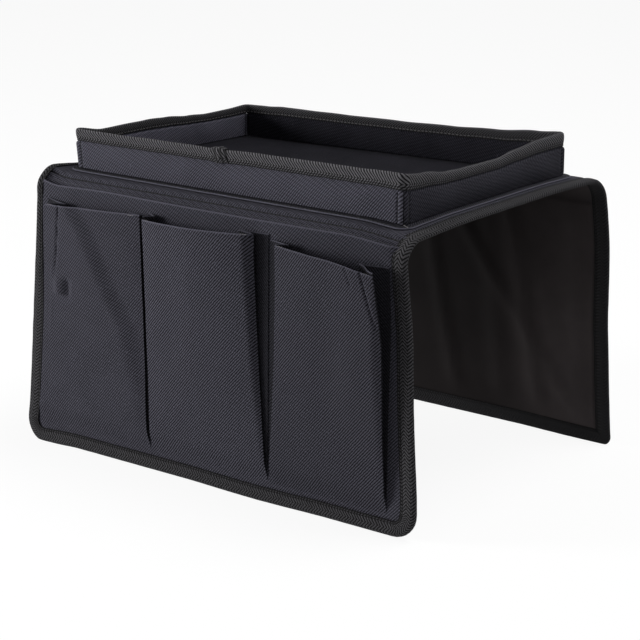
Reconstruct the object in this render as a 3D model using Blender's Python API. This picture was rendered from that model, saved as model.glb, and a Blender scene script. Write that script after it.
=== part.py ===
"""Sofa armrest organizer: a sewn saddle with a tray on top and pockets on its front flap.

Run it with blender --background --python part.py, or from Blender's text editor.
Metres, +Z up. X runs along the armrest and the pockets face -Y. The origin is the centre of
the top panel's underside, the face that rests on the armrest.
"""

import math

import bmesh
import bpy
from mathutils import Matrix, Vector

# Saddle
TOP_LENGTH = 0.311
HEM_FLARE = 0.0095
SADDLE_WIDTH = 0.218
SADDLE_HEIGHT = 0.186
FLAP_SPLAY = math.radians(2.4)
FOLD_RADIUS = 0.015
FOLD_SEAM_TURN = math.radians(30)
FRONT_HEM_RADIUS = 0.016
BACK_HEM_RADIUS = 0.006

# Layers, from the board outwards
BOARD = 0.0016
CLOTH = 0.0006
LINING = 0.0004
TAPE = 0.0006
CLEARANCE = 0.0003

# Edges: the tape's width on a face, and the run in which cloth climbs onto the board
TAPE_WIDTH = 0.0105
TAPE_ROUND = 0.0004
BOARD_EASE = 0.0015
FOLD_MARGIN = 0.002
LEAST_RADIUS = 0.001

# Tray
TRAY_END_SPACE = 0.01825
TRAY_SIDE_SPACE = 0.01975
TRAY_HEIGHT = 0.0305
TRAY_RADIUS = 0.005
RIM_TAPE_WIDTH = 0.009
FLANGE_REACH = 0.005
FLANGE_THICKNESS = 0.0014
FLOOR_THICKNESS = 0.0010

# Wide pocket: its hem below the top face, and how far its mouth bows out
WIDE_HEM_DROP = 0.005
WIDE_MOUTH = 0.005
WIDE_TUCK = 0.0045
WIDE_CORNER_PULL = 0.0020
WIDE_RAISE_SHARE = 0.6

# Pleated pockets: their hems below the top face, the widest mouth and the pleats
POCKET_HEM_DROP = 0.0145
POCKET_MOUTH = 0.021
PLEAT_DEPTH = 0.012
PLEAT_CLOTH = 0.0005
POCKET_GAP = 0.0015

# For each pocket, left then right: the hem's ends as shares of its drop, the seams as shares
# of half the flap's hem, the front's top corners in from their seams as shares of the pleat
# depth, the mouth at these corners and the bow between them as shares of the widest mouth,
# and the pleats' folds in from the corners as shares of the pleat depth.
DROP_SHARES = ((1.17, 0.97), (1.07, 0.90), (1.10, 1.35))
SEAM_SHARES = ((-0.95, -0.294), (-0.294, 0.315), (0.315, 0.876))
CORNER_SHARES = ((0.84, 0.15), (0.16, 0.35), (0.94, -0.09))
MOUTH_SHARES = ((0.70, 0.67), (0.71, 0.62), (0.71, 0.95))
BOW_SHARES = (0.14, 0.30, 0.10)
PLEAT_SHARES = ((0.90, 0.90), (0.75, 1.00), (0.45, 1.50))
PLEAT_REST_SHARE = 0.45
FOLD_OUT_SHARE = 0.45

# Facets
CORNER_STEPS = 6
FOLD_STEPS = 10
POCKET_STEPS = 8
WIDE_STEPS = 10

# Faces of the layers, measured from the middle of the board
CLOTH_INNER = BOARD / 2 + CLEARANCE
CLOTH_OUTER = CLOTH_INNER + CLOTH
LINING_OUTER = BOARD / 2 + CLEARANCE + LINING
SEWN_INNER = CLEARANCE / 2
SEWN_OUTER = SEWN_INNER + CLOTH
SEWN_LINING = SEWN_INNER + LINING
WIDE_SEWN = SEWN_OUTER + CLEARANCE
TAPE_WEB = TAPE + CLEARANCE

# Distances in from a bound edge
SEAM_INSET = TAPE_WIDTH + CLEARANCE
FACE_INSET = SEAM_INSET + BOARD_EASE
BOARD_INSET = FACE_INSET + CLEARANCE

# Lengths that follow from the panel's
HEM_LENGTH = TOP_LENGTH + 2 * HEM_FLARE
TRAY_LENGTH = TOP_LENGTH - 2 * TRAY_END_SPACE
TRAY_WIDTH = SADDLE_WIDTH - 2 * TRAY_SIDE_SPACE

# Folds: the panels turn about an axis that keeps the cloth's length from flat to hanging
MIDDLE_Z = LINING_OUTER
TOP_FACE_Z = MIDDLE_Z + CLOTH_OUTER
FOLD_TURN = math.pi / 2 - FLAP_SPLAY
FOLD_REACH = FOLD_RADIUS * math.tan(FOLD_TURN / 2)
HALF_ROLL = FOLD_RADIUS * FOLD_TURN / 2
AXIS_SETBACK = FOLD_REACH - HALF_ROLL
AXIS_INSET = FOLD_RADIUS - HALF_ROLL / math.tan(FOLD_TURN / 2)
CORNER_Y = SADDLE_WIDTH / 2 - CLOTH_OUTER
TOP_EDGE_Y = CORNER_Y - FOLD_REACH
AXIS_Y = CORNER_Y - AXIS_SETBACK
AXIS_Z = MIDDLE_Z - AXIS_INSET

# Flaps, measured down from the fold's axis
FLAP_START = HALF_ROLL + CLEARANCE / 2
FLAP_END = (SADDLE_HEIGHT - CLOTH_OUTER) / math.cos(FLAP_SPLAY) - AXIS_SETBACK
FRONT = -1
BACK = 1

# Colours are linear; a finish is a colour and a roughness
FINISHES = {
    "twill": ((0.030, 0.029, 0.038), 0.80),
    "tape": ((0.042, 0.042, 0.040), 0.85),
    "lining": ((0.009, 0.008, 0.008), 0.55),
    "board": ((0.300, 0.262, 0.205), 0.90),
}


def clear_scene():
    for obj in list(bpy.data.objects):
        bpy.data.objects.remove(obj, do_unlink=True)


def mix(start, end, share):
    return start + (end - start) * share


def ramp(value, start, end):
    """0 before start, 1 after end and straight between."""
    return min(max((value - start) / (end - start), 0.0), 1.0)


def material(name, finish):
    color, roughness = FINISHES[finish]
    made = bpy.data.materials.new(name)
    made.use_nodes = True
    made.diffuse_color = (*color, 1.0)
    shader = made.node_tree.nodes["Principled BSDF"]
    shader.inputs["Base Color"].default_value = (*color, 1.0)
    shader.inputs["Roughness"].default_value = roughness
    shader.inputs["Metallic"].default_value = 0.0
    return made


def pivot(name, location, turn=0.0, parent=None):
    """An empty that carries the pieces of one body, on its axis along X."""
    empty = bpy.data.objects.new(name, None)
    empty.location = location
    empty.rotation_euler.x = turn
    empty.parent = parent
    bpy.context.scene.collection.objects.link(empty)
    return empty


def loft(name, rings, finish, parent=None, closed=False):
    """A solid skinned over rings with as many points each, capped unless it is a closed loop."""
    shell = bmesh.new()
    loops = [[shell.verts.new(point) for point in ring] for ring in rings]
    following = loops[1:] + loops[:1] if closed else loops[1:]
    for near, far in zip(loops, following):
        for here in range(len(near)):
            there = (here + 1) % len(near)
            shell.faces.new((near[here], near[there], far[there], far[here]))
    if not closed:
        shell.faces.new(loops[0])
        shell.faces.new(loops[-1])
    bmesh.ops.recalc_face_normals(shell, faces=shell.faces)
    mesh = bpy.data.meshes.new(name)
    shell.to_mesh(mesh)
    shell.free()
    mesh.shade_smooth()
    mesh.set_sharp_from_angle(angle=math.radians(30))
    mesh.materials.append(material(name, finish))
    piece = bpy.data.objects.new(name, mesh)
    piece.parent = parent
    bpy.context.scene.collection.objects.link(piece)
    return piece


def inset_corners(corners, insets):
    """A counter-clockwise polygon's corners once side i, which starts at corner i, moves in."""
    sides = []
    for index, corner in enumerate(corners):
        along = (corners[(index + 1) % len(corners)] - corner).normalized()
        inward = Vector((-along.y, along.x))
        sides.append((corner + inward * insets[index], along))
    moved = []
    for index, (point, along) in enumerate(sides):
        before, before_along = sides[index - 1]
        reach = (point - before).cross(along) / before_along.cross(along)
        moved.append(before + before_along * reach)
    return moved


def outline(corners, insets, radii):
    """The inset polygon with its corners rounded; a corner of radius zero stays one point."""
    moved = inset_corners(corners, insets)
    points = []
    for index, corner in enumerate(moved):
        if not radii[index]:
            points.append(corner)
            continue
        radius = max(radii[index] - insets[index], LEAST_RADIUS)
        back = (moved[index - 1] - corner).normalized()
        ahead = (moved[(index + 1) % len(moved)] - corner).normalized()
        half = back.angle(ahead) / 2
        centre = corner + (back + ahead).normalized() * radius / math.sin(half)
        spoke = corner + back * radius / math.tan(half) - centre
        for step in range(CORNER_STEPS + 1):
            turn = Matrix.Rotation((math.pi - 2 * half) * step / CORNER_STEPS, 2)
            points.append(centre + turn @ spoke)
    return points


def tape_profile(width, cloth_face, lining_face):
    """The folded tape's section as points (distance in from the edge, distance out from the middle)."""
    over, under = cloth_face + CLEARANCE, -lining_face - CLEARANCE
    return (
        (TAPE_ROUND, over + TAPE),
        (width, over + TAPE),
        (width, over),
        (TAPE, over),
        (TAPE, under),
        (width, under),
        (width, under - TAPE),
        (TAPE_ROUND, under - TAPE),
        (0.0, under - TAPE + TAPE_ROUND),
        (0.0, over + TAPE - TAPE_ROUND),
    )


def half_length(down):
    """Half the flap's length at a distance down from the fold's axis: it flares to the hem."""
    return mix(TOP_LENGTH, HEM_LENGTH, ramp(down, FLAP_START, FLAP_END)) / 2


# Top panel and folds


def across(half, inner, outer):
    """A layer's section along X: sewn flat inside the tapes and raised between them."""
    sewn_inner, sewn_outer, raised_inner, raised_outer = inner[0], outer[0], inner[1], outer[1]
    steps = (
        (half - TAPE_WEB, sewn_inner, sewn_outer),
        (half - SEAM_INSET, sewn_inner, sewn_outer),
        (half - FACE_INSET, raised_inner, raised_outer),
    )
    near = [(-x, low) for x, low, high in steps] + [(x, low) for x, low, high in reversed(steps)]
    far = [(-x, high) for x, low, high in steps] + [(x, high) for x, low, high in reversed(steps)]
    return near + far[::-1]


def layer_faces(side, thickness, raise_share=1.0):
    """Inner and outer faces of the cloth, side 1, or the lining, side -1: sewn, then raised."""
    lift = CLOTH_INNER - SEWN_INNER
    sewn = side * SEWN_INNER
    raised = side * (SEWN_INNER + lift * raise_share)
    return (sewn, raised), (sewn + side * thickness, raised + side * thickness)


def top_layer(name, side, thickness, finish):
    section = across(TOP_LENGTH / 2, *layer_faces(side, thickness))
    edge = TOP_EDGE_Y - CLEARANCE / 2
    rings = [[(x, y, MIDDLE_Z + out) for x, out in section] for y in (-edge, edge)]
    loft(name, rings, finish)


def fold_point(side, turn, out):
    """A point on a fold, turned from level towards hanging, out from the middle layer."""
    reach = FOLD_RADIUS + out
    y = TOP_EDGE_Y + reach * math.sin(turn)
    return side * y, MIDDLE_Z - FOLD_RADIUS + reach * math.cos(turn)


def fold_turns():
    spare = CLEARANCE / 2 / FOLD_RADIUS
    return [mix(spare, FOLD_TURN - spare, step / FOLD_STEPS) for step in range(FOLD_STEPS + 1)]


def fold_layer(name, side, face, thickness, finish):
    rings = []
    for turn in fold_turns():
        raised = 1.0 - ramp(turn, 0.0, FOLD_SEAM_TURN)
        section = across(TOP_LENGTH / 2, *layer_faces(face, thickness, raised))
        rings.append([(x, *fold_point(side, turn, out)) for x, out in section])
    loft(name, rings, finish)


def end_tape(name, end, section_points):
    """A tape across one end, end -1 left or 1 right, through (y, z) places for each distance out."""
    profile = tape_profile(TAPE_WIDTH, SEWN_OUTER, SEWN_LINING)
    rings = [
        [(end * (TOP_LENGTH / 2 - inset), *place(out)) for inset, out in profile]
        for place in section_points
    ]
    loft(name, rings, "tape")


def build_top_panel():
    top_layer("top_cloth", 1, CLOTH, "twill")
    top_layer("top_lining", -1, LINING, "lining")
    edge = TOP_EDGE_Y - CLEARANCE / 2
    half = TOP_LENGTH / 2 - BOARD_INSET
    corners = ((-half, -edge), (half, -edge), (half, edge), (-half, edge))
    rings = [[(x, y, MIDDLE_Z + out) for x, y in corners] for out in (-BOARD / 2, BOARD / 2)]
    loft("top_board", rings, "board")
    for end, label in ((-1, "left"), (1, "right")):
        places = [lambda out, y=y: (y, MIDDLE_Z + out) for y in (-edge, edge)]
        end_tape(f"top_binding_{label}", end, places)


def build_fold(side, label):
    fold_layer(f"{label}_fold_cloth", side, 1, CLOTH, "twill")
    fold_layer(f"{label}_fold_lining", side, -1, LINING, "lining")
    for end, hand in ((-1, "left"), (1, "right")):
        places = [lambda out, turn=turn: fold_point(side, turn, out) for turn in fold_turns()]
        end_tape(f"{label}_fold_binding_{hand}", end, places)


# Flaps, built hanging straight down from the fold's axis


def flap_place(side, point, out):
    """(x, height) in the flap and the distance out from its middle, in the axis's frame."""
    return point[0], side * (AXIS_INSET + out), point[1]


def flap_outline(inset, top_inset, radius):
    """The flap's outline from its top left corner round the hem to its top right corner."""
    corners = [
        Vector((-TOP_LENGTH / 2, -FLAP_START)),
        Vector((-HEM_LENGTH / 2, -FLAP_END)),
        Vector((HEM_LENGTH / 2, -FLAP_END)),
        Vector((TOP_LENGTH / 2, -FLAP_START)),
    ]
    return outline(corners, (inset, inset, inset, top_inset), (0.0, radius, radius, 0.0))


def flap_layer(name, side, face, thickness, radius, finish, parent):
    (sewn_inner, raised_inner), (sewn_outer, raised_outer) = layer_faces(face, thickness)
    edge = flap_outline(TAPE_WEB, 0.0, radius)
    seam = flap_outline(SEAM_INSET, FOLD_MARGIN, radius)
    raised = flap_outline(FACE_INSET, FOLD_MARGIN + BOARD_EASE, radius)
    levels = (
        (raised, raised_inner),
        (seam, sewn_inner),
        (edge, sewn_inner),
        (edge, sewn_outer),
        (seam, sewn_outer),
        (raised, raised_outer),
    )
    rings = [[flap_place(side, point, out) for point in ring] for ring, out in levels]
    loft(name, rings, finish, parent)


def build_flap(side, label, radius, outer_face):
    """A flap's cloth, board, lining and tape; outer_face is what the tape closes over."""
    hinge = pivot(f"{label}_flap_hinge", (0.0, side * AXIS_Y, AXIS_Z), side * FLAP_SPLAY)
    flap_layer(f"{label}_flap_cloth", side, 1, CLOTH, radius, "twill", hinge)
    flap_layer(f"{label}_flap_lining", side, -1, LINING, radius, "lining", hinge)
    edge = flap_outline(BOARD_INSET, FOLD_MARGIN + BOARD_EASE + CLEARANCE, radius)
    rings = [[flap_place(side, point, out) for point in edge] for out in (-BOARD / 2, BOARD / 2)]
    loft(f"{label}_flap_board", rings, "board", hinge)
    profile = tape_profile(TAPE_WIDTH, outer_face, SEWN_LINING)
    paths = [(flap_outline(inset, 0.0, radius), out) for inset, out in profile]
    rings = [
        [flap_place(side, path[index], out) for path, out in paths]
        for index in range(len(paths[0][0]))
    ]
    loft(f"{label}_flap_binding", rings, "tape", hinge)
    return hinge


# Wide pocket


def drop_to_down(drop):
    """From a distance below the top face to one below the fold's axis."""
    return drop - CLOTH_OUTER - AXIS_SETBACK


def hem_round():
    """Where the front hem's round corners are centred: down the flap, and out from its middle."""
    start = FLAP_END - FRONT_HEM_RADIUS
    return start, half_length(start) - FRONT_HEM_RADIUS


def edge_inset(x, down):
    """How far in from the front flap's edge a place lies, round the hem's corners too."""
    start, centre = hem_round()
    if down > start and abs(x) > centre:
        return FRONT_HEM_RADIUS - math.hypot(abs(x) - centre, down - start)
    return min(half_length(down) - abs(x), FLAP_END - down)


def wide_bow(x, down):
    """How far the wide pocket's inner face stands out from the flap's middle, bowed at its mouth."""
    open_share = 1.0 - ramp(down, drop_to_down(WIDE_HEM_DROP), FLAP_END - FACE_INSET)
    bow = math.cos(math.pi / 2 * min(abs(x) / (half_length(down) - FACE_INSET), 1.0))
    return CLOTH_OUTER + CLEARANCE + WIDE_MOUTH * open_share * bow


def wide_face(x, down):
    """The same face with its sewn edges, which lie flat under the tape."""
    raise_end = mix(SEAM_INSET, FACE_INSET, WIDE_RAISE_SHARE)
    return mix(WIDE_SEWN, wide_bow(x, down), ramp(edge_inset(x, down), SEAM_INSET, raise_end))


def wide_columns(down, tuck, pull):
    half = half_length(down)
    last = half - FACE_INSET - pull
    sides = (half - tuck, half - SEAM_INSET - pull, last)
    middle = [last * (1 - 2 * step / WIDE_STEPS) for step in range(1, WIDE_STEPS)]
    return [-x for x in sides] + [-x for x in middle] + list(reversed(sides))


def build_wide_pocket(hinge):
    """The panel's rows run from the mouth to the hem; its sides and foot lie under the tape."""
    tuck = TAPE_WIDTH - WIDE_TUCK
    mouth = drop_to_down(WIDE_HEM_DROP)
    corner, _ = hem_round()
    over_fold = (FLAP_START + CLEARANCE, mouth)
    rows = [(down, SEAM_INSET + CLEARANCE, WIDE_CORNER_PULL) for down in reversed(over_fold)]
    first = FLAP_START + 2 * CLEARANCE
    rows += [(mix(first, corner, step / 3), tuck, 0.0) for step in range(4)]
    feet = (FACE_INSET, SEAM_INSET, tuck)
    rows += [(FLAP_END - inset, tuck, WIDE_CORNER_PULL) for inset in feet]
    rings = []
    for down, tuck, pull in rows:
        columns = wide_columns(down, tuck, pull)
        near = [flap_place(FRONT, (x, -down), wide_face(x, down)) for x in columns]
        far = [flap_place(FRONT, (x, -down), wide_face(x, down) + CLOTH) for x in columns]
        rings.append(near + far[::-1])
    loft("wide_pocket_panel", rings, "twill", hinge)


# Pleated pockets


def seam_x(number, hand, down):
    """Where a pocket's side is sewn to the wide pocket: hand 0 left, 1 right."""
    limit = half_length(down) - FACE_INSET
    start, centre = hem_round()
    if down > start:
        radius = FRONT_HEM_RADIUS - SEAM_INSET
        limit = centre + math.sqrt(radius**2 - (down - start) ** 2) - BOARD_EASE
    gap = POCKET_GAP / 2 if hand == 0 else -POCKET_GAP / 2
    return min(max(SEAM_SHARES[number][hand] * HEM_LENGTH / 2 + gap, -limit), limit)


class Pocket:
    """One pleated pocket's front, as shares across and down it."""

    def __init__(self, number):
        self.number = number
        self.bottom = FLAP_END - FACE_INSET

    def down(self, across_share, share):
        drop = POCKET_HEM_DROP * mix(*DROP_SHARES[self.number], across_share)
        return mix(drop_to_down(drop), self.bottom, share)

    def side(self, hand, share):
        """The front's left or right edge: in from its seam at the mouth, on it at the foot."""
        inward = (1, -1)[hand] * CORNER_SHARES[self.number][hand] * PLEAT_DEPTH
        return seam_x(self.number, hand, self.down(hand, share)) + inward * (1.0 - share)

    def seat(self):
        """The front's inner face at the foot, over two flat layers of pleat."""
        return CLOTH_OUTER + 2 * CLEARANCE + CLOTH + 2 * PLEAT_CLOTH + 2 * CLEARANCE

    def inner(self, across_share, down_share):
        left, right = MOUTH_SHARES[self.number]
        bow = BOW_SHARES[self.number] * 4 * across_share * (1.0 - across_share)
        mouth = CLOTH_OUTER + POCKET_MOUTH * (mix(left, right, across_share) + bow)
        return mix(mouth, self.seat(), down_share)


def pocket_rows(ring):
    return [ring(step / POCKET_STEPS) for step in range(POCKET_STEPS + 1)]


def build_pocket_front(pocket, hinge, origin_down, origin_out):
    """The front in its hinge's frame, whose axis lies at the foot."""

    def place(x, down, out):
        return x, FRONT * (out - origin_out), origin_down - down

    def ring(share):
        near, far = [], []
        for step in range(POCKET_STEPS + 1):
            across_share = step / POCKET_STEPS
            down = pocket.down(across_share, share)
            x = mix(pocket.side(0, share), pocket.side(1, share), across_share)
            out = pocket.inner(across_share, share)
            near.append(place(x, down, out))
            far.append(place(x, down, out + CLOTH))
        return near + far[::-1]

    loft(f"pocket_{pocket.number + 1}_front", pocket_rows(ring), "twill", hinge)


def thickened(path, thickness):
    """A closed ring round an open path of (x, out) points, with mitred corners."""
    sides = []
    for start, end in zip(path, path[1:]):
        along = (end - start).normalized()
        sides.append(Vector((-along.y, along.x)))
    normals = [sides[0]]
    for before, after in zip(sides, sides[1:]):
        bisector = (before + after).normalized()
        normals.append(bisector / bisector.dot(after))
    normals.append(sides[-1])
    near = [point + normal * thickness / 2 for point, normal in zip(path, normals)]
    far = [point - normal * thickness / 2 for point, normal in zip(path, normals)]
    return near + far[::-1]


def build_gusset(pocket, hand, hinge):
    """A Z-shaped pleat from its seam, in behind the front to its fold, and out to the front's edge."""
    number = pocket.number
    inward = (1, -1)[hand]

    def ring(share):
        down = pocket.down(hand, share)
        seam = seam_x(number, hand, down)
        seam_out = wide_bow(seam, down) + CLOTH + CLEARANCE + PLEAT_CLOTH / 2
        edge = pocket.side(hand, share)
        edge_out = pocket.inner(hand, share) - CLEARANCE - PLEAT_CLOTH / 2
        depth = PLEAT_SHARES[number][hand] * PLEAT_DEPTH * mix(1.0, PLEAT_REST_SHARE, share)
        fold = edge + inward * depth
        turn = (CLEARANCE + PLEAT_CLOTH) / 2
        fold_out = mix(seam_out + turn, edge_out - turn, FOLD_OUT_SHARE)
        path = [
            Vector((seam, seam_out)),
            Vector((fold, fold_out - turn)),
            Vector((fold, fold_out + turn)),
            Vector((edge, edge_out)),
        ]
        return [
            flap_place(FRONT, (point.x, -down), point.y) for point in thickened(path, PLEAT_CLOTH)
        ]

    name = f"pocket_{number + 1}_gusset_{('left', 'right')[hand]}"
    loft(name, pocket_rows(ring), "twill", hinge)


def build_pockets(hinge):
    for number in range(len(SEAM_SHARES)):
        pocket = Pocket(number)
        origin_out = pocket.seat() + CLOTH / 2
        place = flap_place(FRONT, (0.0, -pocket.bottom), origin_out)
        swing = pivot(f"pocket_{number + 1}_hinge", place, parent=hinge)
        build_pocket_front(pocket, swing, pocket.bottom, origin_out)
        for hand in (0, 1):
            build_gusset(pocket, hand, hinge)


# Tray, built round the middle of its walls


def tray_corners():
    x = TRAY_LENGTH / 2 - CLOTH_OUTER
    y = TRAY_WIDTH / 2 - CLOTH_OUTER
    return [Vector(corner) for corner in ((-x, -y), (x, -y), (x, y), (-x, y))]


def tray_loop(out):
    """The tray's rounded outline at a distance out from the middle of its walls."""
    radius = TRAY_RADIUS - CLOTH_OUTER
    return outline(tray_corners(), [-out] * 4, [radius] * 4)


def wall_path(side, out):
    """Points along wall side, 0 front, 1 right, 2 back or 3 left, from one corner's middle to the next."""
    loop = tray_loop(out)
    start = side * (CORNER_STEPS + 1) + CORNER_STEPS // 2
    count = CORNER_STEPS + 2
    path = [loop[(start + step) % len(loop)] for step in range(count)]
    ahead = (path[1] - path[0]).normalized()
    behind = (path[-2] - path[-1]).normalized()
    path[0] = path[0] + ahead * CLEARANCE / 2
    path[-1] = path[-1] + behind * CLEARANCE / 2
    return path


def wall_layer(name, side, face, thickness, finish, tray):
    """A wall's cloth or lining: raised over the board and sewn flat under the rim tape."""
    (sewn_inner, raised_inner), (sewn_outer, raised_outer) = layer_faces(face, thickness)
    foot = FLANGE_THICKNESS + 2 * CLEARANCE
    top = TRAY_HEIGHT - TAPE_WEB
    seam = TRAY_HEIGHT - RIM_TAPE_WIDTH - CLEARANCE
    shoulder = seam - BOARD_EASE
    profile = (
        (raised_outer, foot),
        (raised_outer, shoulder),
        (sewn_outer, seam),
        (sewn_outer, top),
        (sewn_inner, top),
        (sewn_inner, seam),
        (raised_inner, shoulder),
        (raised_inner, foot),
    )
    paths = [(wall_path(side, out), height) for out, height in profile]
    rings = [
        [(*path[index], height) for path, height in paths] for index in range(CORNER_STEPS + 2)
    ]
    loft(name, rings, finish, tray)


def wall_board(name, side, tray):
    """The stiff board in a wall's straight run."""
    foot = FLANGE_THICKNESS + 2 * CLEARANCE
    top = TRAY_HEIGHT - RIM_TAPE_WIDTH - BOARD_EASE - 2 * CLEARANCE
    start = side * (CORNER_STEPS + 1) + CORNER_STEPS
    rings = []
    for index in (start, start + 1):
        ends = []
        for out in (-BOARD / 2, BOARD / 2):
            loop = tray_loop(out)
            ends.append(loop[index % len(loop)])
        rings.append([(*ends[0], foot), (*ends[1], foot), (*ends[1], top), (*ends[0], top)])
    loft(name, rings, "board", tray)


def closed_band(name, profile, finish, tray):
    """A closed loop round the tray from a section of (distance out, height) points."""
    loops = [(tray_loop(out), height) for out, height in profile]
    rings = [
        [(*loop[index], height) for loop, height in loops] for index in range(len(loops[0][0]))
    ]
    loft(name, rings, finish, tray, closed=True)


def build_tray():
    tray = pivot("tray_base", (0.0, 0.0, TOP_FACE_Z))
    for side, label in enumerate(("front", "right", "back", "left")):
        wall_layer(f"tray_{label}_wall_cloth", side, 1, CLOTH, "twill", tray)
        wall_layer(f"tray_{label}_wall_lining", side, -1, CLOTH, "twill", tray)
        wall_board(f"tray_{label}_wall_board", side, tray)

    rim = tape_profile(RIM_TAPE_WIDTH, SEWN_OUTER, SEWN_OUTER)
    closed_band("tray_rim_binding", [(out, TRAY_HEIGHT - inset) for inset, out in rim], "tape", tray)

    low, high = CLEARANCE, CLEARANCE + FLANGE_THICKNESS
    reach, round_off = CLOTH_OUTER + FLANGE_REACH, FLANGE_THICKNESS / 3
    flange = (
        (-CLOTH_OUTER, low),
        (reach - round_off, low),
        (reach, mix(low, high, 0.5)),
        (reach - round_off, high),
        (-CLOTH_OUTER, high),
    )
    closed_band("tray_base_flange", flange, "twill", tray)

    floor = tray_loop(-CLOTH_OUTER - CLEARANCE)
    rings = [
        [(*point, CLEARANCE + height) for point in floor] for height in (0.0, FLOOR_THICKNESS)
    ]
    loft("tray_floor_cloth", rings, "twill", tray)


def main():
    clear_scene()
    build_top_panel()
    build_fold(FRONT, "front")
    build_fold(BACK, "back")
    front_hinge = build_flap(FRONT, "front", FRONT_HEM_RADIUS, WIDE_SEWN + CLOTH)
    build_flap(BACK, "back", BACK_HEM_RADIUS, SEWN_OUTER)
    build_wide_pocket(front_hinge)
    build_pockets(front_hinge)
    build_tray()


main()
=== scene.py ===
"""Sofa armrest organizer: its cloth, linings, boards, tapes and threads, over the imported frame.

Metres, +Z up. X runs along the armrest and the pockets face -Y; the origin is the centre of the
top panel's underside. A place on the saddle is given by x, by the run along the cloth from the
middle of the top to the hem, and by how far out it lies from the middle layer.
"""

import math
from functools import partial

import bpy
from bpy.props import FloatProperty, FloatVectorProperty, PointerProperty
from mathutils import Matrix, Vector, noise


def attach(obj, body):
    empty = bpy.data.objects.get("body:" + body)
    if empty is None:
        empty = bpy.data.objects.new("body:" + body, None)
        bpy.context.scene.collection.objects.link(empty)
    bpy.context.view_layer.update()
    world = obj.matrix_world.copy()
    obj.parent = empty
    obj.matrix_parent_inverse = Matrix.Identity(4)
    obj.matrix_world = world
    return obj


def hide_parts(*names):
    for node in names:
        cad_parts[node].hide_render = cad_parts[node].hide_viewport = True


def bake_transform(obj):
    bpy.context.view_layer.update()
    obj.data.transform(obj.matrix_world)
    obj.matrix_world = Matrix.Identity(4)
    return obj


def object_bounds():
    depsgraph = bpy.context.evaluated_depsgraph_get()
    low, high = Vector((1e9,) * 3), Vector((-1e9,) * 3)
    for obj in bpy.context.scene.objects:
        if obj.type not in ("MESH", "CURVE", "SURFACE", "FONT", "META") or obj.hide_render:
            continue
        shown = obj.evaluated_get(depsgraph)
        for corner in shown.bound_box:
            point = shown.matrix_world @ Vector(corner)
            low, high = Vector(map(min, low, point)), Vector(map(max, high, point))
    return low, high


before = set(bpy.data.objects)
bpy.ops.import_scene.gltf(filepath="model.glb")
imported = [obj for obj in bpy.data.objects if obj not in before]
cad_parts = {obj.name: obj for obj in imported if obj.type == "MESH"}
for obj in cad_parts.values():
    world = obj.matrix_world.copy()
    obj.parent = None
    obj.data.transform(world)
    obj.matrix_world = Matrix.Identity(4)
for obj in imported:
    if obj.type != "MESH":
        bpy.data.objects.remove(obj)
CAD_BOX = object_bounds()

bl_info = {
    "name": "Sofa armrest organizer",
    "version": (1, 0, 0),
    "blender": (4, 5, 0),
    "location": "View3D > Sidebar > Organizer",
    "description": "Builds a fabric armrest organizer with a tray and pleated pockets",
    "category": "Object",
}

FRONT = -1
BACK = 1
SIDES = {FRONT: "front", BACK: "back"}
HANDS = ("left", "right")
# Which way along x is inwards at the left and at the right.
INWARD = (1, -1)
WALLS = ("front", "right", "back", "left")
UP = Vector((0.0, 0.0, 1.0))

# Faces that meet more sharply than this keep their edge.
SHARP_ANGLE = math.radians(50)
# A cloth's third mark, how far in from an edge or seam it lies, where none is near, and beside a
# seam: as far below 0 as this where the seam draws the cloth in.
PLAIN_MARK = 0.01
SEAM_MARK = 0.004
# The usual stitch: from one to the next, its length, and half its thread's thickness.
STITCH_PITCH = 0.0032
STITCH_LENGTH = 0.0023
THREAD_RADIUS = 0.00022
# A stitch is drawn as rings of that many points: each one's share of the length, and its width.
RING_POINTS = 6
STITCH_RINGS = ((0.0, 0.35), (0.2, 1.0), (0.8, 1.0), (1.0, 0.35))
# A short step out from the cloth, to find which way is out there.
PROBE = 0.001
# A hem's rows that lie deeper than this many layers are on its turned side.
TURNED = -0.9


# Sizes and finishes that a user would change


def length(name, description, default):
    return FloatProperty(
        name=name, description=description, default=default, min=0.0, unit="LENGTH", precision=4
    )


def color(name, description, default):
    return FloatVectorProperty(
        name=name, description=description, default=default, subtype="COLOR", min=0.0, max=1.0
    )


class SaddleSizes(bpy.types.PropertyGroup):
    top_length: length("Top length", "Length of the top panel along the armrest", 0.311)
    hem_flare: length("Hem flare", "How much further each end of the hem reaches", 0.0095)
    width: length("Width", "Across the saddle between the hanging flaps", 0.218)
    height: length("Height", "From the hems to the top face", 0.186)
    splay: FloatProperty(
        name="Splay",
        description="How far the flaps stand out from vertical",
        default=math.radians(2.4),
        subtype="ANGLE",
    )
    fold_radius: length("Fold radius", "Radius of the cloth's fold at the armrest's edge", 0.015)
    front_corner: length("Front corner", "Radius of the front flap's hem corners", 0.016)
    back_corner: length("Back corner", "Radius of the back flap's hem corners", 0.006)


class ClothSizes(bpy.types.PropertyGroup):
    board: length("Board", "Thickness of the stiffening board", 0.0016)
    cloth: length("Cloth", "Thickness of the outer cloth", 0.0006)
    lining: length("Lining", "Thickness of the lining", 0.0004)
    tape: length("Tape", "Thickness of the binding tape", 0.0006)
    gap: length("Gap", "Space between two layers", 0.0003)
    tape_width: length("Tape width", "Width of the edge tape on each face", 0.0105)
    rim_tape_width: length("Rim tape width", "Width of the tray's tape on each face", 0.009)
    ease: length("Ease", "Run in which the cloth climbs from its seam onto the board", 0.0018)


class TraySizes(bpy.types.PropertyGroup):
    end_space: length("End space", "From the top panel's ends to the tray", 0.01825)
    side_space: length("Side space", "From the saddle's sides to the tray", 0.01975)
    height: length("Height", "Height of the tray's walls", 0.0305)
    radius: length("Corner radius", "Radius of the tray's upright corners", 0.005)
    strip_reach: length("Strip reach", "How far the seam strip lies out from the walls", 0.005)


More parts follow.
